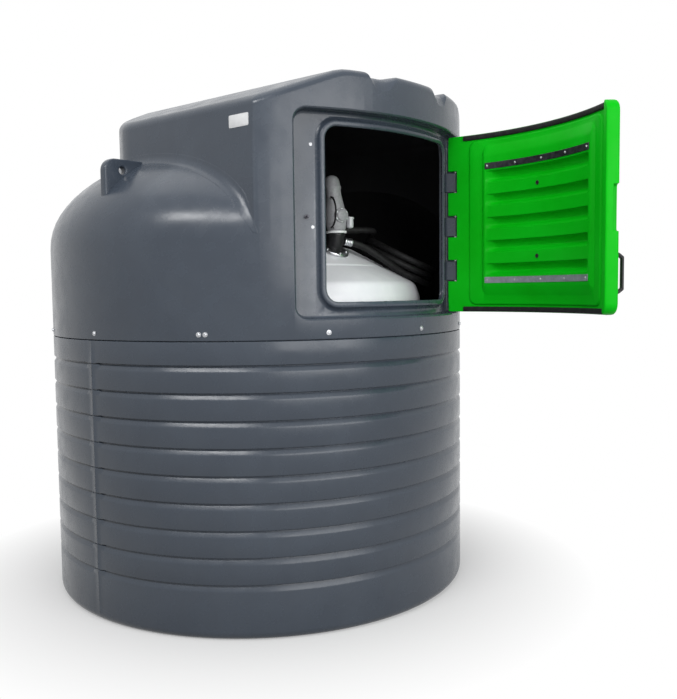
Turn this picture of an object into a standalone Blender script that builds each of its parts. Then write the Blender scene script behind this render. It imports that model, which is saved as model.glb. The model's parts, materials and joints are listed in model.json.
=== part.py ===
"""Bunded diesel tank: a ribbed outer bund under a moulded hood with a pump cabinet.

Metres, +Z up. The origin is on the tank's axis at floor level. The front, where the
cabinet door is, faces -Y, and +X is to the right seen from the front. Angles along the
wall are in degrees from the front, positive toward +X.
"""
import math

import bmesh
import bpy
from mathutils import Matrix, Vector

# Tank body
BODY_RADIUS = 1.100
WALL = 0.012
SEAT_GAP = 0.0003
LAP_CLEARANCE = 0.002
WALL_STEP_DEG = 5.0
BUND_STEP_DEG = 7.5
WALL_GRID = (WALL_STEP_DEG, 0.0)

# Bund, the ribbed lower vessel; the grooves are counted down from the seam
SEAM_Z = 1.320
NECK_HEIGHT = 0.070
BASE_CORNER = 0.040
BASE_LEDGE = 0.075
BASE_BAND = 0.130
TOP_GROOVE_DROP = 0.104
GROOVE_PITCH = 0.1207
GROOVE_DEPTH = 0.014
GROOVE_STEP = 0.003
GROOVE_SLOPE = 0.024
PARTING_WIDTH = 0.065
PARTING_FADE = 0.012

# Hood: a short wall above the seam, then the dome
HOOD_WALL_HEIGHT = 0.440
DOME_HEIGHT = 0.561
DOME_RINGS = 7

# Door recess, opening and lip, set out along the wall from the cabinet's creases
CABINET_HALF_WIDTH = 0.789
RECESS_LEFT_MARGIN = 0.170
RECESS_RIGHT_MARGIN = 0.400
RECESS_SILL = 0.092
RECESS_HEIGHT = 0.8985
RECESS_DEPTH = 0.066
RECESS_CORNER = 0.055
OPENING_LEFT_MARGIN = 0.148
OPENING_RIGHT_MARGIN = 0.1775
OPENING_SILL = 0.070
OPENING_HEADER = 0.0595
OPENING_CORNER = 0.060
LIP_WIDTH = 0.024
LIP_PROUD = 0.022

# Cabinet turret over the recess
CABINET_CREST_X = 0.465
CABINET_CORNER_RUN = 0.0285
CABINET_REAR_Y = 0.350
CABINET_REAR_CORNER = 0.270
CABINET_SINK = 0.160
FLANK_TOP_RISE = 0.0435
ROOF_CREST_RISE = 0.1815
ROOF_EDGE_ROUND = 0.035

# Roof troughs beside the centre rib
TROUGH_INNER_X = 0.112
TROUGH_WIDTH = 0.200
TROUGH_DEPTH = 0.055
TROUGH_SIDE = 0.022
TROUGH_LEVEL_RUN = 0.150
TROUGH_LENGTH = 1.100

# The hood is built as two solids, split round the cabinet's foot
SPLIT_MARGIN = 0.030

# Lifting lugs, standing out from the cabinet's flanks
LUG_THICKNESS = 0.040
LUG_REACH = 0.221
LUG_TOP_DROP = 0.198
LUG_HEIGHT = 0.276
LUG_ROUND = 0.060
LUG_HOLE_REACH = 0.123
LUG_HOLE_DROP = 0.052
LUG_HOLE_RADIUS = 0.018

# Door, modelled shut in the recess and then swung to how it stands
DOOR_SIDE_GAP = 0.0096
DOOR_SILL_GAP = 0.007
DOOR_HEAD_GAP = 0.017
DOOR_FLAP = 0.045
DOOR_CORNER = 0.050
DOOR_FLUSH = 0.001
DOOR_SKIN = 0.029
DOOR_EDGE_CLEARANCE = 0.006
DOOR_EDGE_WIDTH = 0.034
DOOR_OPEN_DEG = 80.0

# Inner face of the door: a low step, then the ribbed panel with its channels
STEP_RIM_MARGIN = 0.072
STEP_HINGE_MARGIN = 0.1386
STEP_END_MARGIN = 0.034
STEP_CORNER = 0.040
STEP_RAISE = 0.008
PANEL_MARGIN = 0.014
PANEL_HINGE_MARGIN = 0.0995
PANEL_RISE = 0.016
PANEL_SIDE_SLOPE = 0.018
PANEL_END_SLOPE = 0.056
PANEL_CORNER = 0.045
CHANNEL_COUNT = 5
CHANNEL_HEIGHT = 0.038
CHANNEL_DEPTH = 0.013
CHANNEL_SLOPE = 0.010
CHANNEL_INSET = 0.038
FIRST_CHANNEL_RISE = 0.131
LAST_CHANNEL_DROP = 0.160

# Grip pocket in the door's free edge, with the latch behind it
GRIP_HEIGHT = 0.190
GRIP_DEPTH = 0.026
GRIP_WIDTH = 0.028
KEEPER_SETBACK = 0.067
KEEPER_RADIUS = 0.006
KEEPER_REACH = 0.026

# Hinges
HINGE_SETBACK = 0.1056
HINGE_BOTTOM_RISE = 0.208
HINGE_TOP_DROP = 0.2225
HINGE_HEIGHT = 0.095
KNUCKLE_RADIUS = 0.013
KNUCKLE_LENGTH = 0.040
PIN_RADIUS = 0.005
PIN_CLEARANCE = 0.0006
HINGE_NOTCH_MARGIN = 0.007
HINGE_NOTCH_SPARE = 0.010
HINGE_NOTCH_REACH = 0.048

# Door trim
SEAL_WIDTH = 0.024
SEAL_THICKNESS = 0.008
SEAL_END_MARGIN = 0.050
SEAL_HINGE_MARGIN = 0.1046
SEAL_SETBACK = 0.002
STRIP_WIDTH = 0.030
STRIP_THICKNESS = 0.003
STRIP_INSET = 0.024
TOP_STRIP_DROP = 0.107
BOTTOM_STRIP_RISE = 0.080
PLUG_RADIUS = 0.010
PLUG_PROUD = 0.003
HANDLE_SETBACK = 0.036
HANDLE_RISE = 0.089
HANDLE_LENGTH = 0.165
HANDLE_REACH = 0.034
HANDLE_BAR = 0.005
HANDLE_TAPER = 0.014

# Plate on the cabinet's left flank
LABEL_SETBACK = 0.030
LABEL_LENGTH = 0.120
LABEL_DROP = 0.064
LABEL_HEIGHT = 0.054
LABEL_THICKNESS = 0.001

# Inner tank, standing inside the bund
TANK_WALL = 0.008
TANK_SIDE_GAP = 0.054
TANK_BASE_ROUND = 0.060
TANK_SHOULDER_DROP = 0.070
TANK_SHOULDER_RISE = 0.060
TANK_SHOULDER_INSET = 0.135
TANK_EDGE_RISE = 0.180
TANK_EDGE_ROUND = 0.069
TANK_EDGE_INSET = 0.027
CROWN_RUN = 0.358
CROWN_RISE = 0.193
CROWN_CAMBER = 0.010
MANHOLE_RADIUS = 0.200
MANHOLE_RIM = 0.040
MANHOLE_LID_THICKNESS = 0.018

# Pump set on the crown's front slope
PUMP_X = -0.020
PUMP_SETBACK = 0.313
PUMP_FLANGE_RADIUS = 0.085
PUMP_FLANGE_THICKNESS = 0.014
PUMP_NECK_RADIUS = 0.045
PUMP_NECK_HEIGHT = 0.090
PUMP_BODY_HEIGHT = 0.300
PUMP_BODY_BELLY = 0.020
PUMP_BODY_FOOT_RADIUS = 0.062
PUMP_BODY_TOP_RADIUS = 0.030

# Delivery hose, from the elbow round a loose coil on the crown and back to the pump
HOSE_RADIUS = 0.017
HOSE_LIFT = 0.005
HOSE_TURNS = 2.7
HOSE_COIL_DEG = 43.0
HOSE_COIL_SETBACK = 0.118
HOSE_COIL_REACH = 0.180
HOSE_COIL_SPREAD = 0.230
HOSE_TURN_POINTS = 14
FERRULE_RADIUS = 0.021
FERRULE_LENGTH = 0.045

# Heights and radii that follow from the sizes above
HOOD_TOP_OF_WALL_Z = SEAM_Z + HOOD_WALL_HEIGHT
RECESS_BOTTOM_Z = SEAM_Z + RECESS_SILL
RECESS_TOP_Z = RECESS_BOTTOM_Z + RECESS_HEIGHT
OPENING_BOTTOM_Z = RECESS_BOTTOM_Z + OPENING_SILL
OPENING_TOP_Z = RECESS_TOP_Z - OPENING_HEADER
FLANK_TOP_Z = RECESS_TOP_Z + FLANK_TOP_RISE
ROOF_CREST_Z = RECESS_TOP_Z + ROOF_CREST_RISE
RECESS_FLOOR_RADIUS = BODY_RADIUS - RECESS_DEPTH
DOOR_BOTTOM_Z = RECESS_BOTTOM_Z + DOOR_SILL_GAP
DOOR_TOP_Z = RECESS_TOP_Z - DOOR_HEAD_GAP
DOOR_FACE_RADIUS = BODY_RADIUS - DOOR_FLUSH
DOOR_SKIN_RADIUS = DOOR_FACE_RADIUS - DOOR_SKIN
DOOR_EDGE_RADIUS = RECESS_FLOOR_RADIUS + DOOR_EDGE_CLEARANCE
LATCH_Z = (DOOR_BOTTOM_Z + DOOR_TOP_Z) / 2.0
PANEL_FACE_RADIUS = DOOR_SKIN_RADIUS - STEP_RAISE - PANEL_RISE
PANEL_BOTTOM_Z = OPENING_BOTTOM_Z + PANEL_MARGIN
PANEL_TOP_Z = OPENING_TOP_Z - PANEL_MARGIN
TANK_LOWER_RADIUS = BODY_RADIUS - GROOVE_DEPTH - WALL - TANK_SIDE_GAP
TANK_UPPER_RADIUS = TANK_LOWER_RADIUS - TANK_SHOULDER_INSET
TANK_SHOULDER_Z = SEAM_Z - TANK_SHOULDER_DROP
TANK_EDGE_Z = SEAM_Z + TANK_EDGE_RISE
CROWN_EDGE_RADIUS = TANK_UPPER_RADIUS - TANK_EDGE_INSET
CROWN_EDGE_Z = TANK_EDGE_Z + TANK_EDGE_ROUND
CROWN_RADIUS = CROWN_EDGE_RADIUS - CROWN_RUN
CROWN_Z = CROWN_EDGE_Z + CROWN_RISE


def wall_degrees(length):
    """Angle that a length along the outer wall spans."""
    return math.degrees(length / BODY_RADIUS)


# Angles from the front that follow from the sizes above
CREASE_DEG = math.degrees(math.asin(CABINET_HALF_WIDTH / BODY_RADIUS))
RECESS_LEFT_DEG = -CREASE_DEG + wall_degrees(RECESS_LEFT_MARGIN)
RECESS_RIGHT_DEG = CREASE_DEG - wall_degrees(RECESS_RIGHT_MARGIN)
OPENING_LEFT_DEG = RECESS_LEFT_DEG + wall_degrees(OPENING_LEFT_MARGIN)
OPENING_RIGHT_DEG = RECESS_RIGHT_DEG - wall_degrees(OPENING_RIGHT_MARGIN)
HINGE_DEG = RECESS_RIGHT_DEG - wall_degrees(HINGE_SETBACK)
DOOR_LEFT_DEG = RECESS_LEFT_DEG + wall_degrees(DOOR_SIDE_GAP)
DOOR_RIGHT_DEG = HINGE_DEG + wall_degrees(DOOR_FLAP)
KEEPER_DEG = RECESS_LEFT_DEG + wall_degrees(KEEPER_SETBACK)
HANDLE_DEG = DOOR_LEFT_DEG + wall_degrees(HANDLE_SETBACK)


def clear_scene():
    for item in list(bpy.data.objects):
        bpy.data.objects.remove(item, do_unlink=True)


def material(name, colour, roughness, metallic=0.0):
    made = bpy.data.materials.new(name)
    made.use_nodes = True
    shader = made.node_tree.nodes["Principled BSDF"]
    shader.inputs["Base Color"].default_value = (*colour, 1.0)
    shader.inputs["Roughness"].default_value = roughness
    shader.inputs["Metallic"].default_value = metallic
    made.diffuse_color = (*colour, 1.0)
    return made


def object_from(bm, name, finish, smooth_deg=30.0):
    bmesh.ops.remove_doubles(bm, verts=bm.verts, dist=1e-6)
    bmesh.ops.recalc_face_normals(bm, faces=bm.faces)
    mesh = bpy.data.meshes.new(name)
    bm.to_mesh(mesh)
    bm.free()
    mesh.shade_smooth()
    mesh.set_sharp_from_angle(angle=math.radians(smooth_deg))
    made = bpy.data.objects.new(name, mesh)
    bpy.context.scene.collection.objects.link(made)
    if finish:
        mesh.materials.append(finish)
    return made


def combine(target, others, operation):
    """Applies Booleans to target and removes the shapes that were used."""
    for other in others:
        step = target.modifiers.new(operation.lower(), "BOOLEAN")
        step.operation = operation
        step.solver = "EXACT"
        step.object = other
        bpy.context.view_layer.objects.active = target
        bpy.ops.object.modifier_apply(modifier=step.name)
        bpy.data.objects.remove(other, do_unlink=True)
    return target


def weld(piece):
    """Merges the corners that Booleans leave double."""
    bm = bmesh.new()
    bm.from_mesh(piece.data)
    bmesh.ops.remove_doubles(bm, verts=bm.verts, dist=1e-6)
    bm.to_mesh(piece.data)
    bm.free()


def wall_point(angle_deg, radius, z):
    turn = math.radians(angle_deg)
    return Vector((radius * math.sin(turn), -radius * math.cos(turn), z))


def facet_reach(angle_deg, grid=WALL_GRID):
    """Share of the radius at which a flat facet of the wall lies at an angle."""
    step, first = grid
    off = (angle_deg - first) % step - step / 2.0
    return math.cos(math.radians(step / 2.0)) / math.cos(math.radians(off))


def wall_stations(start_deg, end_deg, grid=WALL_GRID):
    """Two angles and the facet lines between them."""
    step, first = grid
    low = math.floor((start_deg - first) / step) + 1
    high = math.ceil((end_deg - first) / step) - 1
    inner = [first + step * k for k in range(low, high + 1)]
    slack = 0.05
    inner = [a for a in inner if start_deg + slack < a < end_deg - slack]
    return [start_deg, *inner, end_deg]


def bridge_rings(bm, rings, closed_loop):
    """Faces between successive rings of vertices."""
    for lower, upper in zip(rings, rings[1:]):
        count = len(lower)
        for i in range(count if closed_loop else count - 1):
            j = (i + 1) % count
            corners = []
            for vert in (lower[i], lower[j], upper[j], upper[i]):
                if vert not in corners:
                    corners.append(vert)
            if len(corners) > 2:
                bm.faces.new(corners)


def turned(name, outline, finish, steps=72, centre=(0.0, 0.0)):
    """Solid of revolution from a closed (radius, z) outline; on the axis points merge."""
    bm = bmesh.new()
    rings = []
    for radius, z in outline:
        if radius < 1e-6:
            pole = bm.verts.new((centre[0], centre[1], z))
            rings.append([pole] * steps)
            continue
        ring = []
        for k in range(steps):
            point = wall_point(360.0 * k / steps, radius, z)
            ring.append(bm.verts.new((point.x + centre[0], point.y + centre[1], z)))
        rings.append(ring)
    if outline[0][0] > 1e-6:
        rings.append(rings[0])
    bridge_rings(bm, rings, True)
    return object_from(bm, name, finish)


def curved_panel(
    name, span_deg, span_z, corner, radii, finish=None, taper=(0.0, 0.0), grid=WALL_GRID
):
    """Plate that follows the wall, with rounded corners in its outline.

    Taper draws the sides and the ends in at the inner radius, where they slope. The grid
    is the width of the facets that it follows, and the angle of one of their lines.
    """
    left, right = span_deg
    bottom, top = span_z
    edge = wall_degrees(corner)
    rounds = [1.0 - math.cos(math.radians(30.0 * k)) for k in range(4)] if corner else [0.0]
    angles = [left + edge * r for r in rounds] + [right - edge * r for r in rounds]
    angles += wall_stations(left + edge, right - edge, grid)[1:-1]
    middle = (left + right) / 2.0
    shrink = 1.0 - wall_degrees(taper[0]) / (right - middle)
    bm = bmesh.new()
    rings = []
    for angle in sorted(set(round(a, 9) for a in angles)):
        inset = min(angle - left, right - angle) / edge if corner else 1.0
        drop = 0.0
        if inset < 1.0:
            drop = corner * (1.0 - math.sqrt(max(0.0, 1.0 - (1.0 - inset) ** 2)))
        inner = middle + (angle - middle) * shrink
        near, far = (radius * facet_reach(angle, grid) for radius in radii)
        ring = [
            wall_point(inner, near, bottom + drop + taper[1]),
            wall_point(angle, far, bottom + drop),
            wall_point(angle, far, top - drop),
            wall_point(inner, near, top - drop - taper[1]),
        ]
        rings.append([bm.verts.new(p) for p in ring])
    bridge_rings(bm, rings, True)
    bm.faces.new(rings[0])
    bm.faces.new(rings[-1])
    return object_from(bm, name, finish)


def wall_block(name, angle_deg, side, radial, span_z, finish=None):
    """Box whose sides follow the wall's tangent and outward direction at an angle."""
    outward = wall_point(angle_deg, 1.0, 0.0)
    along = Vector((-outward.y, outward.x, 0.0))
    bm = bmesh.new()
    outline = [
        along * s + outward * r
        for s, r in (
            (side[0], radial[0]),
            (side[1], radial[0]),
            (side[1], radial[1]),
            (side[0], radial[1]),
        )
    ]
    rings = [[bm.verts.new((p.x, p.y, z)) for p in outline] for z in span_z]
    bridge_rings(bm, rings, True)
    bm.faces.new(rings[0])
    bm.faces.new(rings[-1])
    return object_from(bm, name, finish)


def extruded(name, outline, bottom, top, finish=None):
    """Upright prism over a plan outline of (x, y) points."""
    bm = bmesh.new()
    rings = [[bm.verts.new((x, y, z)) for x, y in outline] for z in (bottom, top)]
    bridge_rings(bm, rings, True)
    bm.faces.new(rings[0])
    bm.faces.new(rings[-1])
    return object_from(bm, name, finish)


def rod(name, start, end, radius, finish, sides=12):
    """Straight round bar between two points."""
    axis = Vector(end) - Vector(start)
    bm = bmesh.new()
    bmesh.ops.create_cone(
        bm, cap_ends=True, segments=sides, radius1=radius, radius2=radius, depth=axis.length
    )
    turn = axis.to_track_quat("Z", "Y").to_matrix().to_4x4()
    place = Matrix.Translation((Vector(start) + Vector(end)) / 2.0) @ turn
    bmesh.ops.transform(bm, matrix=place, verts=bm.verts)
    return object_from(bm, name, finish)


def groove_outline(depth):
    """Outer edge of the bund wall from its base ring up to the seam."""
    points = []
    centre = BODY_RADIUS - BASE_CORNER
    for k in range(4):
        turn = math.radians(-90.0 + 30.0 * k)
        radius = centre + BASE_CORNER * math.cos(turn)
        points.append((radius, BASE_CORNER * (1.0 + math.sin(turn))))
    top_line = SEAM_Z - TOP_GROOVE_DROP
    count = int((top_line - BASE_BAND) / GROOVE_PITCH) + 1
    for k in reversed(range(count)):
        line_z = top_line - GROOVE_PITCH * k
        points.append((BODY_RADIUS, line_z - GROOVE_STEP - GROOVE_SLOPE))
        points.append((BODY_RADIUS - depth, line_z - GROOVE_STEP))
        points.append((BODY_RADIUS, line_z))
    return points


def bund_section(depth):
    """Closed section of the bund wall at one angle, with its neck and base ledge."""
    shoulder = SEAM_Z - SEAT_GAP
    neck = BODY_RADIUS - WALL - LAP_CLEARANCE
    inner = BODY_RADIUS - GROOVE_DEPTH - WALL
    outline = groove_outline(depth)
    outline += [
        (BODY_RADIUS, shoulder),
        (neck, shoulder),
        (neck, SEAM_Z + NECK_HEIGHT),
        (neck - WALL, SEAM_Z + NECK_HEIGHT),
        (neck - WALL, shoulder - WALL),
        (inner, shoulder - 2.0 * WALL),
        (inner, BASE_CORNER + WALL),
        (inner - BASE_CORNER + WALL, WALL),
        (BODY_RADIUS - BASE_LEDGE, WALL),
        (BODY_RADIUS - BASE_LEDGE, 0.0),
    ]
    return outline


def make_bund_shell(finish):
    half = wall_degrees(PARTING_WIDTH / 2.0)
    fade = half + wall_degrees(PARTING_FADE)
    angles = set()
    for k in range(round(360.0 / BUND_STEP_DEG)):
        angles.add(BUND_STEP_DEG * k)
    for side in (90.0, 270.0):
        angles.update((side - fade, side - half, side + half, side + fade))
    bm = bmesh.new()
    columns = []
    for angle in sorted(angles):
        off_strip = min(abs(angle - 90.0), abs(angle - 270.0))
        depth = 0.0 if off_strip < half + 1e-6 else GROOVE_DEPTH
        points = [wall_point(angle, r, z) for r, z in bund_section(depth)]
        columns.append([bm.verts.new(p) for p in points])
    columns.append(columns[0])
    bridge_rings(bm, columns, True)
    return object_from(bm, "bund_shell", finish)


def make_bund_floor(finish):
    radius = BODY_RADIUS - BASE_LEDGE - SEAT_GAP
    outline = [(0.0, 0.0), (radius, 0.0), (radius, WALL), (0.0, WALL)]
    return turned("bund_floor", outline, finish, round(360.0 / BUND_STEP_DEG))


def dome_form(offset):
    """Drum and dome, as a closed solid lying inside the outer skin by offset."""
    radius = BODY_RADIUS - offset
    height = DOME_HEIGHT - offset
    foot = SEAM_Z - (WALL if offset > 0.0 else 0.0)
    outline = [(0.0, foot), (radius, foot), (radius, HOOD_TOP_OF_WALL_Z)]
    for k in range(1, DOME_RINGS):
        turn = math.radians(90.0 * k / DOME_RINGS)
        outline.append((radius * math.cos(turn), HOOD_TOP_OF_WALL_Z + height * math.sin(turn)))
    outline.append((0.0, HOOD_TOP_OF_WALL_Z + height))
    return turned("dome_form", outline, None)


def roof_height(x, offset):
    slope = (ROOF_CREST_Z - FLANK_TOP_Z) / (CABINET_HALF_WIDTH - CABINET_CREST_X)
    drop = max(0.0, abs(x) - CABINET_CREST_X) * slope
    return ROOF_CREST_Z - drop - offset


def cabinet_stations(offset):
    """Plan of the cabinet as (x, front y, rear y, front normal, rear normal)."""
    radius = BODY_RADIUS - offset
    half = CABINET_HALF_WIDTH - offset
    rear = CABINET_REAR_Y - offset
    corner = CABINET_REAR_CORNER - offset
    round_x = half - corner
    crease = math.degrees(math.asin(half / radius))
    start_deg = crease - wall_degrees(CABINET_CORNER_RUN)
    start_deg = round(start_deg / 0.5) * 0.5
    crest_deg = round(math.degrees(math.asin(CABINET_CREST_X / radius)), 1)
    angles = [WALL_STEP_DEG * k for k in range(math.ceil(start_deg / WALL_STEP_DEG))]
    angles = [a for a in angles if abs(a - crest_deg) > 0.5] + [crest_deg, start_deg]
    fronts = []
    for angle in sorted(angles):
        turn = math.radians(angle)
        point = wall_point(angle, radius * facet_reach(angle), 0.0)
        fronts.append(((point.x, point.y), (math.sin(turn), -math.cos(turn))))
    start = Vector(fronts[-1][0])
    crease_y = -math.sqrt(radius * radius - half * half)
    end = Vector((half, crease_y + CABINET_CORNER_RUN))
    bend = Vector((half, crease_y))
    for share in (1.0 / 3.0, 2.0 / 3.0):
        point = start.lerp(bend, share).lerp(bend.lerp(end, share), share)
        turn = math.radians(start_deg + (90.0 - start_deg) * share)
        fronts.append(((point.x, point.y), (math.sin(turn), -math.cos(turn))))
    fronts.append(((end.x, end.y), (1.0, 0.0)))
    stations = []
    for (x, y), normal in fronts:
        lean = min(1.0, max(0.0, (x - round_x) / corner))
        rise = math.sqrt(1.0 - lean * lean)
        stations.append((x, y, rear - corner * (1.0 - rise), normal, (lean, rise)))
    return stations


def cabinet_row(offset):
    """Stations of the whole cabinet from its left flank to its right."""
    side = cabinet_stations(offset)
    mirrored = [(-x, f, r, (-n[0], n[1]), (-m[0], m[1])) for x, f, r, n, m in side[:0:-1]]
    return mirrored + side


def cabinet_form(offset):
    """Cabinet block with rounded roof edges, lying inside the outer skin by offset."""
    row = cabinet_row(offset)
    edge = ROOF_EDGE_ROUND - offset
    bm = bmesh.new()

    def ring(inset, drop, fixed_z=None):
        front = []
        rear = []
        for x, front_y, rear_y, normal, back_normal in row:
            for holder, y, n in ((front, front_y, normal), (rear, rear_y, back_normal)):
                px = x - n[0] * inset
                z = fixed_z if fixed_z is not None else roof_height(px, offset) - drop
                holder.append(bm.verts.new((px, y - n[1] * inset, z)))
        return front, rear

    foot = HOOD_TOP_OF_WALL_Z - CABINET_SINK
    levels = [ring(0.0, 0.0, foot - (CABINET_SINK if offset > 0.0 else 0.0))]
    for k in range(4):
        turn = math.radians(30.0 * k)
        levels.append(ring(edge * (1.0 - math.cos(turn)), edge * (1.0 - math.sin(turn))))
    loops = [front + rear[::-1] for front, rear in levels]
    bridge_rings(bm, loops, True)
    for front, rear in (levels[0], levels[-1]):
        bridge_rings(bm, [front, rear], False)
    return object_from(bm, "cabinet_form", None)


def trough_form(side, offset):
    """Scoop beside the centre rib; its floor rises from the front edge to the rear."""
    inner = TROUGH_INNER_X - offset
    outer = TROUGH_INNER_X + TROUGH_WIDTH + offset
    lip = ROOF_CREST_Z - offset
    front_y = -BODY_RADIUS - WALL
    level_y = -BODY_RADIUS + TROUGH_LEVEL_RUN
    rear_y = -BODY_RADIUS + TROUGH_LENGTH + offset
    bm = bmesh.new()
    rings = []
    for y, depth in ((front_y, TROUGH_DEPTH), (level_y, TROUGH_DEPTH), (rear_y, -WALL / 4.0)):
        outline = [
            (inner - TROUGH_SIDE, lip + TROUGH_DEPTH),
            (inner, lip + WALL / 4.0),
            (inner + TROUGH_SIDE, lip - depth),
            (outer - TROUGH_SIDE, lip - depth),
            (outer, lip + WALL / 4.0),
            (outer + TROUGH_SIDE, lip + TROUGH_DEPTH),
        ]
        rings.append([bm.verts.new((side * x, y, z)) for x, z in outline])
    bridge_rings(bm, rings, True)
    bm.faces.new(rings[0])
    bm.faces.new(rings[-1])
    return object_from(bm, "trough_form", None)


def recess_form(offset):
    span = (
        RECESS_LEFT_DEG - wall_degrees(offset),
        RECESS_RIGHT_DEG + wall_degrees(offset),
    )
    heights = (RECESS_BOTTOM_Z - offset, RECESS_TOP_Z + offset)
    radii = (RECESS_FLOOR_RADIUS - offset, BODY_RADIUS + RECESS_DEPTH)
    return curved_panel("recess_form", span, heights, RECESS_CORNER + offset, radii)


def opening_span(grow):
    return (
        OPENING_LEFT_DEG - wall_degrees(grow),
        OPENING_RIGHT_DEG + wall_degrees(grow),
    )


def opening_heights(grow):
    return (OPENING_BOTTOM_Z - grow, OPENING_TOP_Z + grow)


def make_lip():
    radii = (RECESS_FLOOR_RADIUS - WALL / 2.0, RECESS_FLOOR_RADIUS + LIP_PROUD)
    corner = OPENING_CORNER + LIP_WIDTH
    return curved_panel("lip", opening_span(LIP_WIDTH), opening_heights(LIP_WIDTH), corner, radii)


def make_lug(side, name, finish):
    """Lifting plate that stands on the dome against the cabinet's flank."""
    top = FLANK_TOP_Z - LUG_TOP_DROP
    root_x = CABINET_HALF_WIDTH - WALL
    outer_x = CABINET_HALF_WIDTH + LUG_REACH
    outline = [(root_x, top - LUG_HEIGHT), (outer_x, top - LUG_HEIGHT)]
    for k in range(5):
        turn = math.radians(22.5 * k)
        x = outer_x - LUG_ROUND * (1.0 - math.cos(turn))
        outline.append((x, top - LUG_ROUND * (1.0 - math.sin(turn))))
    outline.append((root_x, top))
    bm = bmesh.new()
    half = LUG_THICKNESS / 2.0
    rings = [[bm.verts.new((side * x, y, z)) for x, z in outline] for y in (-half, half)]
    bridge_rings(bm, rings, True)
    bm.faces.new(rings[0])
    bm.faces.new(rings[-1])
    lug = object_from(bm, name, finish)
    hole_x = CABINET_HALF_WIDTH + LUG_HOLE_REACH
    centre = Vector((side * hole_x, 0.0, top - LUG_HOLE_DROP))
    reach = Vector((0.0, LUG_THICKNESS, 0.0))
    bore = rod("lug_bore", centre - reach, centre + reach, LUG_HOLE_RADIUS, None, 16)
    combine(lug, [bore, dome_form(-SEAT_GAP), cabinet_form(-SEAT_GAP)], "DIFFERENCE")
    lug.data.materials.clear()
    lug.data.materials.append(finish)
    return lug


def split_form(gap):
    """Column round the cabinet, from under the recess to over the roof."""
    row = cabinet_row(-SPLIT_MARGIN - gap)
    plan = [(x, front) for x, front, rear, n, m in row]
    plan += [(x, rear) for x, front, rear, n, m in row[::-1]]
    bottom = RECESS_BOTTOM_Z - SPLIT_MARGIN - gap
    return extruded("split_form", plan, bottom, ROOF_CREST_Z + SPLIT_MARGIN)


def make_hood(finish):
    """Outer skin less its cavity, with the door recess, opening and lip, in two solids."""
    hood = combine(dome_form(0.0), [cabinet_form(0.0)], "UNION")
    pockets = [recess_form(0.0), trough_form(1, 0.0), trough_form(-1, 0.0)]
    combine(hood, pockets, "DIFFERENCE")
    cavity = combine(dome_form(WALL), [cabinet_form(WALL)], "UNION")
    walls = [recess_form(WALL), trough_form(1, WALL), trough_form(-1, WALL)]
    combine(cavity, walls, "DIFFERENCE")
    combine(hood, [cavity], "DIFFERENCE")
    combine(hood, [make_lip()], "UNION")
    depth = (RECESS_FLOOR_RADIUS - 2.0 * WALL, BODY_RADIUS)
    opening = curved_panel(
        "opening", opening_span(0.0), opening_heights(0.0), OPENING_CORNER, depth
    )
    combine(hood, [opening], "DIFFERENCE")
    hood.data.materials.clear()
    hood.data.materials.append(finish)
    cabinet = bpy.data.objects.new("cabinet_shell", hood.data.copy())
    bpy.context.scene.collection.objects.link(cabinet)
    combine(cabinet, [split_form(0.0)], "INTERSECT")
    combine(hood, [split_form(SEAT_GAP)], "DIFFERENCE")
    hood.name = "hood_shell"
    for piece in (hood, cabinet):
        weld(piece)
        piece.data.name = piece.name
    return hood, cabinet


def tank_outline(offset):
    """Half section of the inner tank from its base to the manhole."""
    base = WALL + SEAT_GAP + offset
    lower = TANK_LOWER_RADIUS - offset
    upper = TANK_UPPER_RADIUS - offset
    foot = TANK_BASE_ROUND
    return [
        (lower - foot, base),
        (lower - foot * 0.3, base + foot * 0.3),
        (lower, base + foot),
        (lower, TANK_SHOULDER_Z - offset / 2.0),
        (upper, TANK_SHOULDER_Z + TANK_SHOULDER_RISE - offset / 2.0),
        (upper, TANK_EDGE_Z),
        (CROWN_EDGE_RADIUS - offset * 0.7, CROWN_EDGE_Z - offset * 0.8),
        (CROWN_RADIUS, CROWN_Z - offset),
        (MANHOLE_RADIUS, CROWN_Z + CROWN_CAMBER - offset),
    ]


def make_inner_tank(finish):
    outer = tank_outline(0.0)
    inner = tank_outline(TANK_WALL)
    base = WALL + SEAT_GAP
    outline = [(0.0, base), *outer, *inner[::-1], (0.0, base + TANK_WALL)]
    return turned("inner_tank", outline, finish, 36)


def make_manhole_lid(finish):
    seat = CROWN_Z + CROWN_CAMBER + SEAT_GAP
    top = seat + MANHOLE_LID_THICKNESS
    edge = MANHOLE_RADIUS + MANHOLE_RIM
    bevel = MANHOLE_LID_THICKNESS / 3.0
    outline = [
        (0.0, seat),
        (edge, seat),
        (edge, top - bevel),
        (edge - bevel, top),
        (MANHOLE_RADIUS + bevel, top),
        (MANHOLE_RADIUS, top + 2.0 * bevel),
        (0.0, top + 2.0 * bevel),
    ]
    return turned("manhole_lid", outline, finish, 24)


def crown_slope():
    return CROWN_RISE / CROWN_RUN


def on_crown(angle_deg, radius, lift):
    """Point over the crown's slope, lifted square to it."""
    tilt = math.atan(crown_slope())
    height = CROWN_Z - crown_slope() * (radius - CROWN_RADIUS)
    return wall_point(angle_deg, radius + lift * math.sin(tilt), height + lift * math.cos(tilt))


def pump_foot():
    """Point on the crown under the pump set, and the crown's upward normal there."""
    radius = CROWN_EDGE_RADIUS - PUMP_SETBACK
    angle = math.degrees(math.asin(PUMP_X / radius))
    foot = on_crown(angle, radius, 0.0)
    return foot, (on_crown(angle, radius, 1.0) - foot).normalized()


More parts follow.
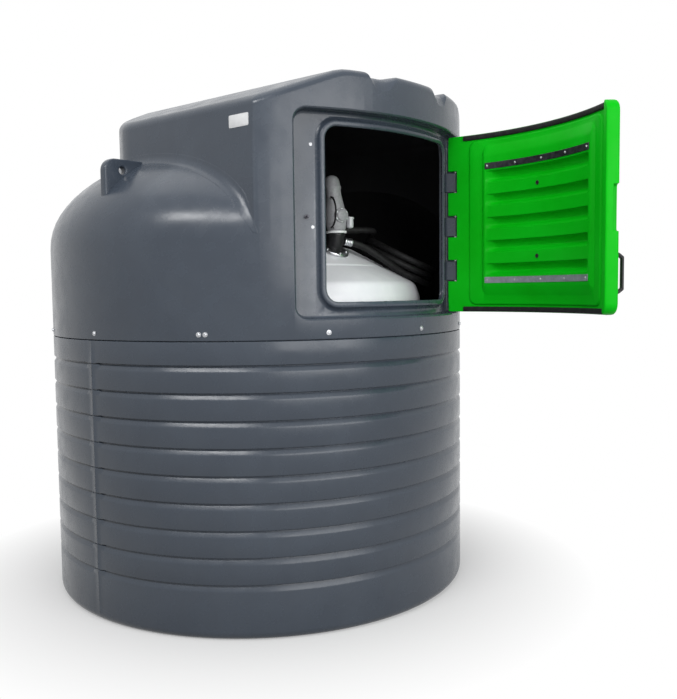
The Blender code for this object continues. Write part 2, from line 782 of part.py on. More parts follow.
def tube(name, points, radius, finish, sides_level=2):
    """Round bar or hose along a list of points, with flat ends."""
    curve = bpy.data.curves.new(name, "CURVE")
    curve.dimensions = "3D"
    curve.bevel_depth = radius
    curve.bevel_resolution = sides_level
    curve.use_fill_caps = True
    line = curve.splines.new("POLY")
    line.points.add(len(points) - 1)
    for slot, point in zip(line.points, points):
        slot.co = (*point, 1.0)
    if finish:
        curve.materials.append(finish)
    made = bpy.data.objects.new(name, curve)
    bpy.context.scene.collection.objects.link(made)
    return made


def make_pump_set(steel, black, grey):
    """Suction flange square to the sloping crown, a swept elbow, and the upright pump."""
    foot, normal = pump_foot()
    turn = normal.to_track_quat("Z", "Y").to_matrix().to_4x4()
    top = SEAT_GAP + PUMP_FLANGE_THICKNESS
    flange = turned(
        "suction_flange",
        [
            (0.0, SEAT_GAP),
            (PUMP_FLANGE_RADIUS, SEAT_GAP),
            (PUMP_FLANGE_RADIUS, top),
            (0.0, top),
        ],
        steel,
        24,
    )
    flange.data.transform(Matrix.Translation(foot) @ turn)
    start = foot + normal * (top + SEAT_GAP)
    middle = start + normal * (PUMP_NECK_HEIGHT / 2.0)
    end = middle + Vector((0.0, 0.0, PUMP_NECK_HEIGHT / 2.0))
    route = []
    for k in range(6):
        share = k / 5.0
        route.append(start.lerp(middle, share).lerp(middle.lerp(end, share), share))
    route[0] = start
    route.insert(1, start + normal * 0.004)
    route.insert(len(route) - 1, end - Vector((0.0, 0.0, 0.004)))
    tube("suction_elbow", route, PUMP_NECK_RADIUS, black, 4)
    base = end.z + SEAT_GAP
    top = base + PUMP_BODY_HEIGHT
    body = [
        (0.0, base),
        (PUMP_BODY_FOOT_RADIUS * 0.8, base),
        (PUMP_BODY_FOOT_RADIUS, base + PUMP_BODY_BELLY),
        (PUMP_BODY_FOOT_RADIUS * 0.9, base + PUMP_BODY_HEIGHT * 0.4),
        (PUMP_BODY_TOP_RADIUS, top - PUMP_BODY_HEIGHT / 6.0),
        (PUMP_BODY_TOP_RADIUS * 0.8, top),
        (0.0, top),
    ]
    turned("pump_body", body, grey, 24, (end.x, end.y))
    return end


def smooth_route(knots, spacing):
    """Evenly spaced points on a smooth curve through the knots."""
    padded = [knots[0] * 2.0 - knots[1], *knots, knots[-1] * 2.0 - knots[-2]]
    fine = []
    for a, b, c, d in zip(padded, padded[1:], padded[2:], padded[3:]):
        for k in range(24):
            t = k / 24.0
            fine.append(0.5 * (
                2.0 * b + (c - a) * t + (2.0 * a - 5.0 * b + 4.0 * c - d) * t * t
                + (3.0 * b - a - 3.0 * c + d) * t * t * t
            ))
    fine.append(knots[-1])
    total = sum((b - a).length for a, b in zip(fine, fine[1:]))
    count = round(total / spacing)
    route = [fine[0]]
    walked = 0.0
    for a, b in zip(fine, fine[1:]):
        step = (b - a).length
        while len(route) < count and walked + step >= total * len(route) / count:
            share = (total * len(route) / count - walked) / step
            route.append(a.lerp(b, share))
        walked += step
    route.append(fine[-1])
    return route


def hose_knots(start, end):
    """Knots of the hose: out of the elbow, round the coil, and back behind the pump."""
    rest = HOSE_RADIUS + HOSE_LIFT
    layer = 2.0 * HOSE_RADIUS + HOSE_LIFT
    centre = CROWN_EDGE_RADIUS - HOSE_COIL_SETBACK
    first = math.radians(-75.0)
    count = round(HOSE_TURNS * HOSE_TURN_POINTS)
    coil = []
    for k in range(count + 1):
        turn = first + 2.0 * math.pi * k / HOSE_TURN_POINTS
        radius = centre + HOSE_COIL_REACH * math.cos(turn)
        swing = math.degrees(HOSE_COIL_SPREAD * math.sin(turn) / centre)
        lift = rest + layer * k / HOSE_TURN_POINTS
        coil.append(on_crown(HOSE_COIL_DEG + swing, radius, lift))
    out = start + (coil[0] - start) * 0.30 + Vector((0.0, 0.0, 0.012))
    half_way = coil[-1] + (coil[-1] - coil[-2]) * 1.3
    back = end + Vector((0.06, 0.055, 0.0))
    return [start, out, *coil, half_way, back, end]


def make_hose(black, steel, pump_end):
    """Hose between a ferrule on the elbow's side and one behind the pump."""
    foot, normal = pump_foot()
    middle = foot + normal * (PUMP_FLANGE_THICKNESS + PUMP_NECK_HEIGHT / 2.0)
    out = Vector((1.0, -0.35, -0.15)).normalized()
    first = middle + out * (PUMP_NECK_RADIUS + 2.0 * SEAT_GAP)
    rod("hose_ferrule_outlet", first, first + out * FERRULE_LENGTH, FERRULE_RADIUS, steel)
    start = first + out * (FERRULE_LENGTH + SEAT_GAP)
    back = Vector((0.75, 0.66, 0.0)).normalized()
    root = pump_end + Vector((0.0, 0.0, PUMP_BODY_BELLY))
    second = root + back * (PUMP_BODY_FOOT_RADIUS + SEAT_GAP)
    rod("hose_ferrule_return", second, second + back * FERRULE_LENGTH, FERRULE_RADIUS, steel)
    end = second + back * (FERRULE_LENGTH + SEAT_GAP)
    knots = hose_knots(start + out * HOSE_RADIUS, end + back * HOSE_RADIUS)
    route = smooth_route(knots, HOSE_RADIUS * 5.5)
    tube("delivery_hose", [start, *route, end], HOSE_RADIUS, black)


def hinge_point():
    return wall_point(HINGE_DEG, BODY_RADIUS, 0.0)


def hinge_outline(half_width, foot_radius):
    """Plan of a hinge arm: straight sides from its foot to a round knuckle."""
    outward = wall_point(HINGE_DEG, 1.0, 0.0)
    along = Vector((-outward.y, outward.x, 0.0))
    axis = hinge_point()
    points = []
    for k in range(7):
        turn = math.radians(30.0 * k)
        points.append(axis + (along * math.cos(turn) + outward * math.sin(turn)) * half_width)
    for side in (-1, 1):
        points.append(along * (side * half_width) + outward * foot_radius)
    return [(p.x, p.y) for p in points]


def hinge_levels():
    """Heights of the middles of the three hinge arms."""
    low = DOOR_BOTTOM_Z + HINGE_BOTTOM_RISE
    high = DOOR_TOP_Z - HINGE_TOP_DROP
    return {"bottom": low, "middle": (low + high) / 2.0, "top": high}


def make_hinge_arms(finish, steel):
    axis = hinge_point()
    outline = hinge_outline(KNUCKLE_RADIUS, RECESS_FLOOR_RADIUS + SEAT_GAP)
    half = HINGE_HEIGHT / 2.0
    hole = PIN_RADIUS + PIN_CLEARANCE
    for name, z in hinge_levels().items():
        middle = axis + Vector((0.0, 0.0, z))
        arm = extruded("hinge_arm_" + name, outline, z - half, z + half, finish)
        reach = Vector((0.0, 0.0, HINGE_HEIGHT))
        combine(arm, [rod("bore", middle - reach, middle + reach, hole, None)], "DIFFERENCE")
        reach = Vector((0.0, 0.0, half + HINGE_NOTCH_MARGIN + KNUCKLE_LENGTH * 0.8))
        rod("hinge_pin_" + name, middle - reach, middle + reach, PIN_RADIUS, steel)


def panel_span(inset=0.0):
    return (
        OPENING_LEFT_DEG + wall_degrees(PANEL_MARGIN + inset),
        OPENING_RIGHT_DEG - wall_degrees(PANEL_HINGE_MARGIN + inset),
    )


def panel_grid():
    """Facet lines of the panel's face, which its sloping sides draw together."""
    left, right = panel_span()
    middle = (left + right) / 2.0
    shrink = 1.0 - wall_degrees(PANEL_SIDE_SLOPE) / (right - middle)
    return (WALL_STEP_DEG * shrink, middle * (1.0 - shrink))


def channel_levels():
    """Heights of the middles of the channels."""
    first = PANEL_BOTTOM_Z + FIRST_CHANNEL_RISE
    last = PANEL_TOP_Z - LAST_CHANNEL_DROP
    pitch = (last - first) / (CHANNEL_COUNT - 1)
    return [first + pitch * k for k in range(CHANNEL_COUNT)]


def make_door_slab(finish):
    """Door skin with its deep free edge, as one block hollowed from behind."""
    span = (DOOR_LEFT_DEG, DOOR_RIGHT_DEG)
    heights = (DOOR_BOTTOM_Z, DOOR_TOP_Z)
    radii = (DOOR_EDGE_RADIUS, DOOR_FACE_RADIUS)
    door = curved_panel("door_shell", span, heights, DOOR_CORNER, radii, finish)
    behind_span = (
        DOOR_LEFT_DEG + wall_degrees(DOOR_EDGE_WIDTH),
        DOOR_RIGHT_DEG + wall_degrees(DOOR_EDGE_WIDTH),
    )
    behind_heights = (DOOR_BOTTOM_Z - DOOR_EDGE_WIDTH, DOOR_TOP_Z + DOOR_EDGE_WIDTH)
    behind_radii = (DOOR_EDGE_RADIUS - DOOR_EDGE_WIDTH, DOOR_SKIN_RADIUS)
    behind = curved_panel("behind", behind_span, behind_heights, 0.0, behind_radii)
    return combine(door, [behind], "DIFFERENCE")


def door_knuckles():
    axis = hinge_point()
    knuckles = []
    for z in hinge_levels().values():
        for side in (-1, 1):
            near = z + side * (HINGE_HEIGHT / 2.0 + HINGE_NOTCH_MARGIN)
            start = axis + Vector((0.0, 0.0, near))
            end = start + Vector((0.0, 0.0, side * KNUCKLE_LENGTH))
            knuckles.append(rod("knuckle", start, end, KNUCKLE_RADIUS, None))
    return knuckles


def make_door_shell(finish):
    """Moulded door: outer skin, deep free edge, raised inner panel and hinge knuckles."""
    door = make_door_slab(finish)
    bite = DOOR_SKIN / 4.0
    step = curved_panel(
        "step",
        (
            DOOR_LEFT_DEG + wall_degrees(DOOR_EDGE_WIDTH + STEP_RIM_MARGIN),
            DOOR_RIGHT_DEG - wall_degrees(STEP_HINGE_MARGIN),
        ),
        (DOOR_BOTTOM_Z + STEP_END_MARGIN, DOOR_TOP_Z - STEP_END_MARGIN),
        STEP_CORNER,
        (DOOR_SKIN_RADIUS - STEP_RAISE, DOOR_SKIN_RADIUS + bite),
    )
    panel = curved_panel(
        "panel",
        panel_span(),
        (PANEL_BOTTOM_Z, PANEL_TOP_Z),
        PANEL_CORNER,
        (PANEL_FACE_RADIUS, DOOR_SKIN_RADIUS - STEP_RAISE + bite / 2.0),
        None,
        (PANEL_SIDE_SLOPE, PANEL_END_SLOPE),
    )
    combine(door, [step, panel, *door_knuckles()], "UNION")
    cuts = []
    half = CHANNEL_HEIGHT / 2.0
    widen = CHANNEL_SLOPE * 1.5
    for z in channel_levels():
        cuts.append(curved_panel(
            "channel",
            panel_span(CHANNEL_INSET),
            (z - half, z + half),
            0.0,
            (PANEL_FACE_RADIUS - CHANNEL_DEPTH / 2.0, PANEL_FACE_RADIUS + CHANNEL_DEPTH),
            None,
            (-widen, -widen),
        ))
    half = GRIP_HEIGHT / 2.0
    grip_span = (
        DOOR_LEFT_DEG - wall_degrees(GRIP_WIDTH),
        DOOR_LEFT_DEG + wall_degrees(GRIP_WIDTH),
    )
    grip_radii = (DOOR_FACE_RADIUS - GRIP_DEPTH, DOOR_FACE_RADIUS + GRIP_DEPTH)
    cuts.append(curved_panel("grip", grip_span, (LATCH_Z - half, LATCH_Z + half), 0.0, grip_radii))
    axis = hinge_point()
    notch_side = (-KNUCKLE_RADIUS - HINGE_NOTCH_SPARE, DOOR_FLAP + HINGE_NOTCH_SPARE)
    notch_depth = (RECESS_FLOOR_RADIUS, BODY_RADIUS + HINGE_NOTCH_REACH)
    half = HINGE_HEIGHT / 2.0 + HINGE_NOTCH_MARGIN
    reach = Vector((0.0, 0.0, half + KNUCKLE_LENGTH + HINGE_NOTCH_MARGIN))
    for z in hinge_levels().values():
        cuts.append(wall_block("notch", HINGE_DEG, notch_side, notch_depth, (z - half, z + half)))
        middle = axis + Vector((0.0, 0.0, z))
        cuts.append(rod("bore", middle - reach, middle + reach, PIN_RADIUS + PIN_CLEARANCE, None))
    combine(door, cuts, "DIFFERENCE")
    door.data.materials.clear()
    door.data.materials.append(finish)
    return door


def make_door_trim(rubber, steel, black):
    """Seals, clamping strips and plugs on the door's inner face."""
    seal_span = (
        DOOR_LEFT_DEG + wall_degrees(DOOR_EDGE_WIDTH + SEAL_END_MARGIN),
        DOOR_RIGHT_DEG - wall_degrees(SEAL_HINGE_MARGIN),
    )
    seal_back = DOOR_SKIN_RADIUS - SEAT_GAP
    seal_radii = (seal_back - SEAL_THICKNESS, seal_back)
    low = DOOR_BOTTOM_Z + SEAL_SETBACK
    high = DOOR_TOP_Z - SEAL_SETBACK
    face = PANEL_FACE_RADIUS - SEAT_GAP
    strip_radii = (face - STRIP_THICKNESS, face)
    strip_span = panel_span(STRIP_INSET)
    made = []
    for name, bottom in (("seal_top", high - SEAL_WIDTH), ("seal_bottom", low)):
        levels = (bottom, bottom + SEAL_WIDTH)
        made.append(curved_panel(name, seal_span, levels, 0.0, seal_radii, rubber))
    strips = {
        "strip_top": PANEL_TOP_Z - TOP_STRIP_DROP,
        "strip_bottom": PANEL_BOTTOM_Z + BOTTOM_STRIP_RISE,
    }
    for name, z in strips.items():
        levels = (z - STRIP_WIDTH / 2.0, z + STRIP_WIDTH / 2.0)
        made.append(curved_panel(
            name, strip_span, levels, 0.0, strip_radii, steel, grid=panel_grid()
        ))
    step, first = panel_grid()
    angle = first + (math.floor((sum(strip_span) / 2.0 - first) / step) + 0.5) * step
    depth = PANEL_FACE_RADIUS * facet_reach(angle, (step, first))
    levels = channel_levels()
    for name, k in (("lower", 0), ("upper", CHANNEL_COUNT - 2)):
        z = (levels[k] + levels[k + 1]) / 2.0
        start = wall_point(angle, depth - SEAT_GAP, z)
        end = wall_point(angle, depth - SEAT_GAP - PLUG_PROUD, z)
        made.append(rod("door_plug_" + name, start, end, PLUG_RADIUS, black, 16))
    return made


def make_handle(finish):
    """Bow handle: a round bar on two splayed feet."""
    lean = math.atan2(HANDLE_TAPER, HANDLE_REACH)
    face = DOOR_FACE_RADIUS * facet_reach(HANDLE_DEG)
    seat = face + SEAT_GAP + HANDLE_BAR * math.sin(lean)
    low = DOOR_BOTTOM_Z + HANDLE_RISE
    high = low + HANDLE_LENGTH
    points = (
        (0.0, low),
        (HANDLE_REACH, low + HANDLE_TAPER),
        (HANDLE_REACH, high - HANDLE_TAPER),
        (0.0, high),
    )
    route = [wall_point(HANDLE_DEG, seat + reach, z) for reach, z in points]
    return tube("pull_handle", route, HANDLE_BAR, finish)


def swing_open(pieces):
    """Parents the door's pieces to its hinge axis and turns them to how the door stands."""
    hinge = bpy.data.objects.new("door_hinge_axis", None)
    bpy.context.scene.collection.objects.link(hinge)
    hinge.location = hinge_point()
    bpy.context.view_layer.update()
    for piece in pieces:
        piece.parent = hinge
        piece.matrix_parent_inverse = hinge.matrix_world.inverted()
    hinge.rotation_euler = (0.0, 0.0, math.radians(DOOR_OPEN_DEG))


def make_keeper(steel):
    """Stud on the recess floor that the door's latch closes behind."""
    slant = KEEPER_RADIUS * math.sin(math.radians(WALL_STEP_DEG / 2.0))
    seat = RECESS_FLOOR_RADIUS * facet_reach(KEEPER_DEG) + slant
    start = wall_point(KEEPER_DEG, seat + SEAT_GAP, LATCH_Z)
    end = wall_point(KEEPER_DEG, RECESS_FLOOR_RADIUS + KEEPER_REACH, LATCH_Z)
    return rod("latch_keeper", start, end, KEEPER_RADIUS, steel)


def make_label(finish):
    """Bare plate on the left flank, behind the cabinet's rounded front corner."""
    outer = -CABINET_HALF_WIDTH - SEAT_GAP
    front = -BODY_RADIUS * math.cos(math.radians(CREASE_DEG)) + LABEL_SETBACK
    outline = [
        (outer - LABEL_THICKNESS, front),
        (outer, front),
        (outer, front + LABEL_LENGTH),
        (outer - LABEL_THICKNESS, front + LABEL_LENGTH),
    ]
    top = FLANK_TOP_Z - LABEL_DROP
    return extruded("label_plate", outline, top - LABEL_HEIGHT, top, finish)


def main():
    clear_scene()
    grey = material("tank_grey_polyethylene", (0.078, 0.096, 0.125), 0.48)
    green = material("door_green_polyethylene", (0.010, 0.390, 0.012), 0.42)
    natural = material("inner_tank_natural_polyethylene", (0.780, 0.820, 0.860), 0.45)
    rubber = material("black_rubber", (0.012, 0.012, 0.013), 0.70)
    black = material("black_fittings", (0.015, 0.015, 0.016), 0.45)
    steel = material("bright_steel", (0.600, 0.610, 0.620), 0.35, 1.0)
    dull = material("pump_casting", (0.420, 0.430, 0.440), 0.50, 0.6)
    plate = material("label_white", (0.820, 0.820, 0.800), 0.50)

    make_bund_shell(grey)
    make_bund_floor(grey)
    make_hood(grey)
    make_lug(-1, "lifting_lug_left", grey)
    make_lug(1, "lifting_lug_right", grey)
    make_inner_tank(natural)
    make_manhole_lid(black)
    pump_end = make_pump_set(steel, black, dull)
    make_hose(rubber, steel, pump_end)
    make_hinge_arms(grey, steel)
    make_keeper(steel)
    make_label(plate)
    door = [make_door_shell(green), make_handle(black)]
    door += make_door_trim(rubber, steel, black)
    swing_open(door)


main()
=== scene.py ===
# %% [markdown]
# # A round bunded fuel tank, dressed
#
# The tank is two big plastic mouldings, one on the other: a ribbed outer vessel below, which
# would catch a leak, and a hood above it with a cabinet for the pump. A curved green door
# stands open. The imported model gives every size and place, and this lesson puts the soft
# edges, the fittings and the finishes over it.

import json
import math

import bmesh
import bpy
from mathutils import Matrix, Vector


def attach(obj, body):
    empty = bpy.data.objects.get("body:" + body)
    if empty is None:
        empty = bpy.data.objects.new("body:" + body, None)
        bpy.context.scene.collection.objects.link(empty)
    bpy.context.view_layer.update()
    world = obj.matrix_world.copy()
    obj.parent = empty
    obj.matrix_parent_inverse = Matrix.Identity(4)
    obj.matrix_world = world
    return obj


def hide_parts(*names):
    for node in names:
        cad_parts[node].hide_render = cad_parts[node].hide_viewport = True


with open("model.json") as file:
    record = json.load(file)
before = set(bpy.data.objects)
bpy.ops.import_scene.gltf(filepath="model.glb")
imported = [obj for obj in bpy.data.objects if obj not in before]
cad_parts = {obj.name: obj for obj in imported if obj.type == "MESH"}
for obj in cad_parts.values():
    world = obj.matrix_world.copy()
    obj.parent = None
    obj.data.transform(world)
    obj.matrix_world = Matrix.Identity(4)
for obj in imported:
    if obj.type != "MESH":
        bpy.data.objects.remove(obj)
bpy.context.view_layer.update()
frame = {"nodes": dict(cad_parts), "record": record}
print("solids in the frame:", len(frame["nodes"]))

# %% [markdown]
# ## The camera
#
# The tank was photographed from eye height, a little over four and a half metres off, from
# the front left. A camera could be aimed with a Track To constraint. Here its place and its
# three turns are written down instead, because they were fitted to the tank's own outline.

# %% Set up the camera
scene = bpy.context.scene
scene.view_settings.view_transform = "Standard"
bpy.ops.object.camera_add(location=(-3.302, -3.302, 1.536))
camera = bpy.context.object
heading = Matrix.Rotation(math.radians(-50.30), 4, "Z")
pitch = Matrix.Rotation(math.radians(90.0 - 4.10), 4, "X")
roll = Matrix.Rotation(math.radians(-0.68), 4, "Z")
camera.matrix_world = Matrix.Translation(camera.location) @ heading @ pitch @ roll
camera.data.sensor_width = 36.0
camera.data.lens = 36.0 * 831.5 / 699.0
scene.camera = camera
print("lens, mm:", round(camera.data.lens, 2))

# %% [markdown]
# ## Sizes and places on the wall
#
# Nearly everything here sits on a round wall, so a place is best said as an angle from the
# front, a radius and a height. Lengths along the wall turn into angles at its radius. These
# few values are the model's own, in metres.

# %% Sizes that many pieces share
BODY = 1.100
WALL = 0.012
SEAM = 1.320
WALL_TOP = 1.760
DOME_RISE = 0.561
HALF_WIDTH = 0.789
CREST_X = 0.465
CREST_Z = 2.492
FLANK_Z = 2.354
REAR_Y = 0.350
REAR_CORNER = 0.270
FLOOR_RADIUS = 1.034
DOOR_FACE = 1.099
DOOR_SKIN = 1.070
GAP = 0.0003


def on_wall(angle, radius, height):
    turn = math.radians(angle)
    return Vector((radius * math.sin(turn), -radius * math.cos(turn), height))


def degrees_along(length):
    return math.degrees(length / BODY)


CREASE = math.degrees(math.asin(HALF_WIDTH / BODY))
RECESS = (-CREASE + degrees_along(0.170), CREASE - degrees_along(0.400))
RECESS_Z = (1.412, 2.3105)
OPENING = (RECESS[0] + degrees_along(0.148), RECESS[1] - degrees_along(0.1775))
LIP_SPAN = (OPENING[0] + degrees_along(0.006), OPENING[1] + degrees_along(0.022))
OPENING_Z = (1.482, 2.251)
HINGE = RECESS[1] - degrees_along(0.1056)
DOOR = (RECESS[0] + degrees_along(0.0096), HINGE + degrees_along(0.045))
DOOR_Z = (1.419, 2.2935)
HINGE_LEVELS = (1.627, 1.849, 2.071)
print("opening spans, degrees:", [round(a, 2) for a in OPENING])
print("door spans, degrees:", [round(a, 2) for a in DOOR])

# %% [markdown]
# ## The delivery hose
#
# A rubber hose leaves the elbow on the inner tank's crown, lies there in a loose coil and
# comes back to the pump. It is a cord: a curve along its centre, given the hose's radius.
# A path by hand would cross itself, so the coil is worked out on the sloping crown, each
# turn a hose's width above the last, and then smoothed.

# %% Work out the hose's route
HOSE = 0.017
HOSE_LIFT = 0.005
CROWN_EDGE = 0.858
CROWN_IN = 0.500
CROWN_TOP = 1.762
CROWN_SLOPE = 0.193 / 0.358
PUMP_X = -0.020
PUMP_SETBACK = 0.313
FLANGE_THICK = 0.014
ELBOW = 0.045
FERRULE_LENGTH = 0.045
COIL_MIDDLE = CROWN_EDGE - 0.118
COIL_DEGREES = 43.0
COIL_STEPS = 14


def on_crown(angle, radius, lift):
    tilt = math.atan(CROWN_SLOPE)
    height = CROWN_TOP - CROWN_SLOPE * (radius - CROWN_IN)
    return on_wall(angle, radius + lift * math.sin(tilt), height + lift * math.cos(tilt))


pump_radius = CROWN_EDGE - PUMP_SETBACK
pump_angle = math.degrees(math.asin(PUMP_X / pump_radius))
pump_foot = on_crown(pump_angle, pump_radius, 0.0)
pump_normal = (on_crown(pump_angle, pump_radius, 1.0) - pump_foot).normalized()
elbow_start = pump_foot + pump_normal * (GAP + FLANGE_THICK + GAP)
elbow_middle = elbow_start + pump_normal * ELBOW
pump_base = elbow_middle + Vector((0.0, 0.0, ELBOW))


def smooth_route(knots, spacing):
    padded = [knots[0] * 2.0 - knots[1], *knots, knots[-1] * 2.0 - knots[-2]]
    fine = []
    for a, b, c, d in zip(padded, padded[1:], padded[2:], padded[3:]):
        for k in range(24):
            t = k / 24.0
            fine.append(0.5 * (
                2.0 * b + (c - a) * t + (2.0 * a - 5.0 * b + 4.0 * c - d) * t * t
                + (3.0 * b - a - 3.0 * c + d) * t * t * t
            ))
    fine.append(knots[-1])
    total = sum((b - a).length for a, b in zip(fine, fine[1:]))
    count = round(total / spacing)
    route = [fine[0]]
    walked = 0.0
    for a, b in zip(fine, fine[1:]):
        step = (b - a).length
        while len(route) < count and walked + step >= total * len(route) / count:
            share = (total * len(route) / count - walked) / step
            route.append(a.lerp(b, share))
        walked += step
    route.append(fine[-1])
    return route


outlet_way = Vector((1.0, -0.35, -0.15)).normalized()
return_way = Vector((0.75, 0.66, 0.0)).normalized()
outlet_root = pump_foot + pump_normal * (FLANGE_THICK + ELBOW) + outlet_way * (ELBOW + 2.0 * GAP)
return_root = pump_base + Vector((0.0, 0.0, 0.020)) + return_way * (0.062 + GAP)
hose_start = outlet_root + outlet_way * (FERRULE_LENGTH + GAP)
hose_end = return_root + return_way * (FERRULE_LENGTH + GAP)

coil = []
for k in range(39):
    turn = math.radians(-75.0) + 2.0 * math.pi * k / COIL_STEPS
    coil_radius = COIL_MIDDLE + 0.180 * math.cos(turn)
    swing = math.degrees(0.230 * math.sin(turn) / COIL_MIDDLE)
    lift = HOSE + HOSE_LIFT + (2.0 * HOSE + HOSE_LIFT) * k / COIL_STEPS
    coil.append(on_crown(COIL_DEGREES + swing, coil_radius, lift))
first_knot = hose_start + outlet_way * HOSE
last_knot = hose_end + return_way * HOSE
lead_out = first_knot + (coil[0] - first_knot) * 0.30 + Vector((0.0, 0.0, 0.012))
half_way = coil[-1] + (coil[-1] - coil[-2]) * 1.3
lead_in = last_knot + Vector((0.06, 0.055, 0.0))
knots = [first_knot, lead_out, *coil, half_way, lead_in, last_knot]
hose_route = [hose_start, *smooth_route(knots, HOSE * 1.2), hose_end]

# %% Draw the hose
def tube(name, points, radius, resolution):
    """A round tube along a line of points, still a curve."""
    bpy.ops.object.select_all(action="DESELECT")
    bpy.ops.curve.primitive_nurbs_path_add()
    path = bpy.context.object
    path.name = name
    path.data.splines.clear()
    path.data.dimensions = "3D"
    path.data.bevel_depth = 1.0
    path.data.bevel_resolution = resolution
    path.data.use_fill_caps = True
    line = path.data.splines.new("POLY")
    line.points.add(len(points) - 1)
    for knot, point in zip(line.points, points):
        knot.co = (*point, 1.0)
        knot.radius = radius
    return path


hose = tube("rubber_hose", hose_route, HOSE, 5)
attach(hose, "tank")
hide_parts("delivery_hose")

# %% [markdown]
# ## Helpers for the bench
#
# A new primitive is picked, named and shaped, and what was picked before must not follow
# along. A few short helpers keep that in order: one picks a single object, one names a new
# primitive, a pair opens a mesh for editing and leaves it with its faces outwards, one turns
# a section round the upright axis, one stretches a skin over a row of rings, one joins or
# cuts solids with each other, and the last smooths a piece's roundness but keeps its edges.

# %% Pick, spin, skin and combine
def pick(piece):
    if bpy.context.object and bpy.context.object.mode != "OBJECT":
        bpy.ops.object.mode_set(mode="OBJECT")
    bpy.ops.object.select_all(action="DESELECT")
    piece.select_set(True)
    bpy.context.view_layer.objects.active = piece
    return piece


def start_piece(name):
    piece = bpy.context.object
    piece.name = name
    piece.data.name = name
    return pick(piece)


def edit_all():
    bpy.ops.object.mode_set(mode="EDIT")
    bpy.ops.mesh.select_all(action="SELECT")


def leave_edit():
    """Turn every face outwards and go back to the object."""
    bpy.ops.mesh.select_all(action="SELECT")
    bpy.ops.mesh.normals_make_consistent(inside=False)
    bpy.ops.object.mode_set(mode="OBJECT")


def spun(name, section, steps=96):
    """Closed (radius, height) section, turned all the way round the upright axis."""
    bpy.ops.mesh.primitive_circle_add(vertices=len(section), fill_type="NOTHING")
    piece = start_piece(name)
    for vert, (radius, height) in zip(piece.data.vertices, section):
        vert.co = (radius, 0.0, height)
    edit_all()
    bpy.ops.mesh.spin(steps=steps, angle=2.0 * math.pi, center=(0.0, 0.0, 0.0), axis=(0.0, 0.0, 1.0))
    bpy.ops.mesh.select_all(action="SELECT")
    bpy.ops.mesh.remove_doubles(threshold=1e-5)
    leave_edit()
    return piece


def skin(name, rings, merge=0.0, banded=False, split=False):
    """A closed solid over rings of points; its ends can be bands of quads or split into triangles."""
    bm = bmesh.new()
    loops = [[bm.verts.new(point) for point in ring] for ring in rings]
    size = len(loops[0])
    for lower, upper in zip(loops, loops[1:]):
        for i in range(size):
            j = (i + 1) % size
            bm.faces.new((lower[i], lower[j], upper[j], upper[i]))
    for loop in (loops[0], loops[-1]):
        if banded:
            for i in range(size // 2 - 1):
                bm.faces.new((loop[i], loop[i + 1], loop[size - 2 - i], loop[size - 1 - i]))
        else:
            bm.faces.new(loop)
    if merge:
        bmesh.ops.remove_doubles(bm, verts=bm.verts, dist=merge)
    if split:
        bmesh.ops.triangulate(bm, faces=[face for face in bm.faces if len(face.verts) > 4])
    bmesh.ops.recalc_face_normals(bm, faces=bm.faces)
    mesh = bpy.data.meshes.new(name)
    bm.to_mesh(mesh)
    bm.free()
    piece = bpy.data.objects.new(name, mesh)
    scene.collection.objects.link(piece)
    return pick(piece)


def combine(target, others, operation, keep_finish=False):
    for other in others:
        pick(target)
        step = target.modifiers.new(operation.lower(), "BOOLEAN")
        step.operation = operation
        step.material_mode = "TRANSFER" if keep_finish else "INDEX"
        step.solver = "EXACT"
        step.object = other
        bpy.ops.object.modifier_apply(modifier=step.name)
        bpy.data.objects.remove(other, do_unlink=True)
    return target


def smooth(piece, angle=32.0):
    pick(piece)
    bpy.ops.object.shade_smooth_by_angle(angle=math.radians(angle))
    return piece


# %% [markdown]
# ## The moulded finishes
#
# Both mouldings are polyethylene, cooked inside a turning steel mould. The powder leaves a
# colour that is not quite even, a fine orange-peel skin from the mould, and broad shallow
# waves where the wall shrank as it cooled. Four noises at four sizes do this: one tints the
# colour, one sets the sheen, and two go through bump nodes to lift the waves and the peel.
# The bevel node in front of them softens the edges that are too small to model.

# %% Nodes for a finish
def finish(name):
    made = bpy.data.materials.new(name)
    made.use_nodes = True
    tree = made.node_tree
    return made, tree.nodes, tree.links, tree.nodes["Principled BSDF"]


def add_node(nodes, kind, **settings):
    """A new shader node with its inputs set; an underscore in a name stands for a space."""
    node = nodes.new("ShaderNode" + kind)
    for name, value in settings.items():
        node.inputs[name.replace("_", " ")].default_value = value
    return node


def noise(nodes, links, source, scale, detail=2.0, roughness=0.5, distortion=0.0):
    node = add_node(
        nodes, "TexNoise", Scale=scale, Detail=detail, Roughness=roughness, Distortion=distortion
    )
    links.new(source, node.inputs["Vector"])
    return node.outputs["Fac"]


def spread(nodes, links, value, low, high, start=0.3, end=0.7):
    node = add_node(nodes, "MapRange", From_Min=start, From_Max=end, To_Min=low, To_Max=high)
    links.new(value, node.inputs["Value"])
    return node.outputs["Result"]


def tint(nodes, links, value, stops):
    node = nodes.new("ShaderNodeValToRGB")
    ramp = node.color_ramp
    for k, (at, colour) in enumerate(stops):
        stop = ramp.elements[k] if k < 2 else ramp.elements.new(at)
        stop.position = at
        stop.color = (*colour, 1.0)
    links.new(value, node.inputs["Fac"])
    return node.outputs["Color"]


def bump(nodes, links, height, strength, distance, before=None):
    node = add_node(nodes, "Bump", Strength=strength, Distance=distance)
    links.new(height, node.inputs["Height"])
    if before is not None:
        links.new(before, node.inputs["Normal"])
    return node.outputs["Normal"]


def place_of(nodes):
    return nodes.new("ShaderNodeTexCoord").outputs["Object"]


EDGE_ROUND = 0.004


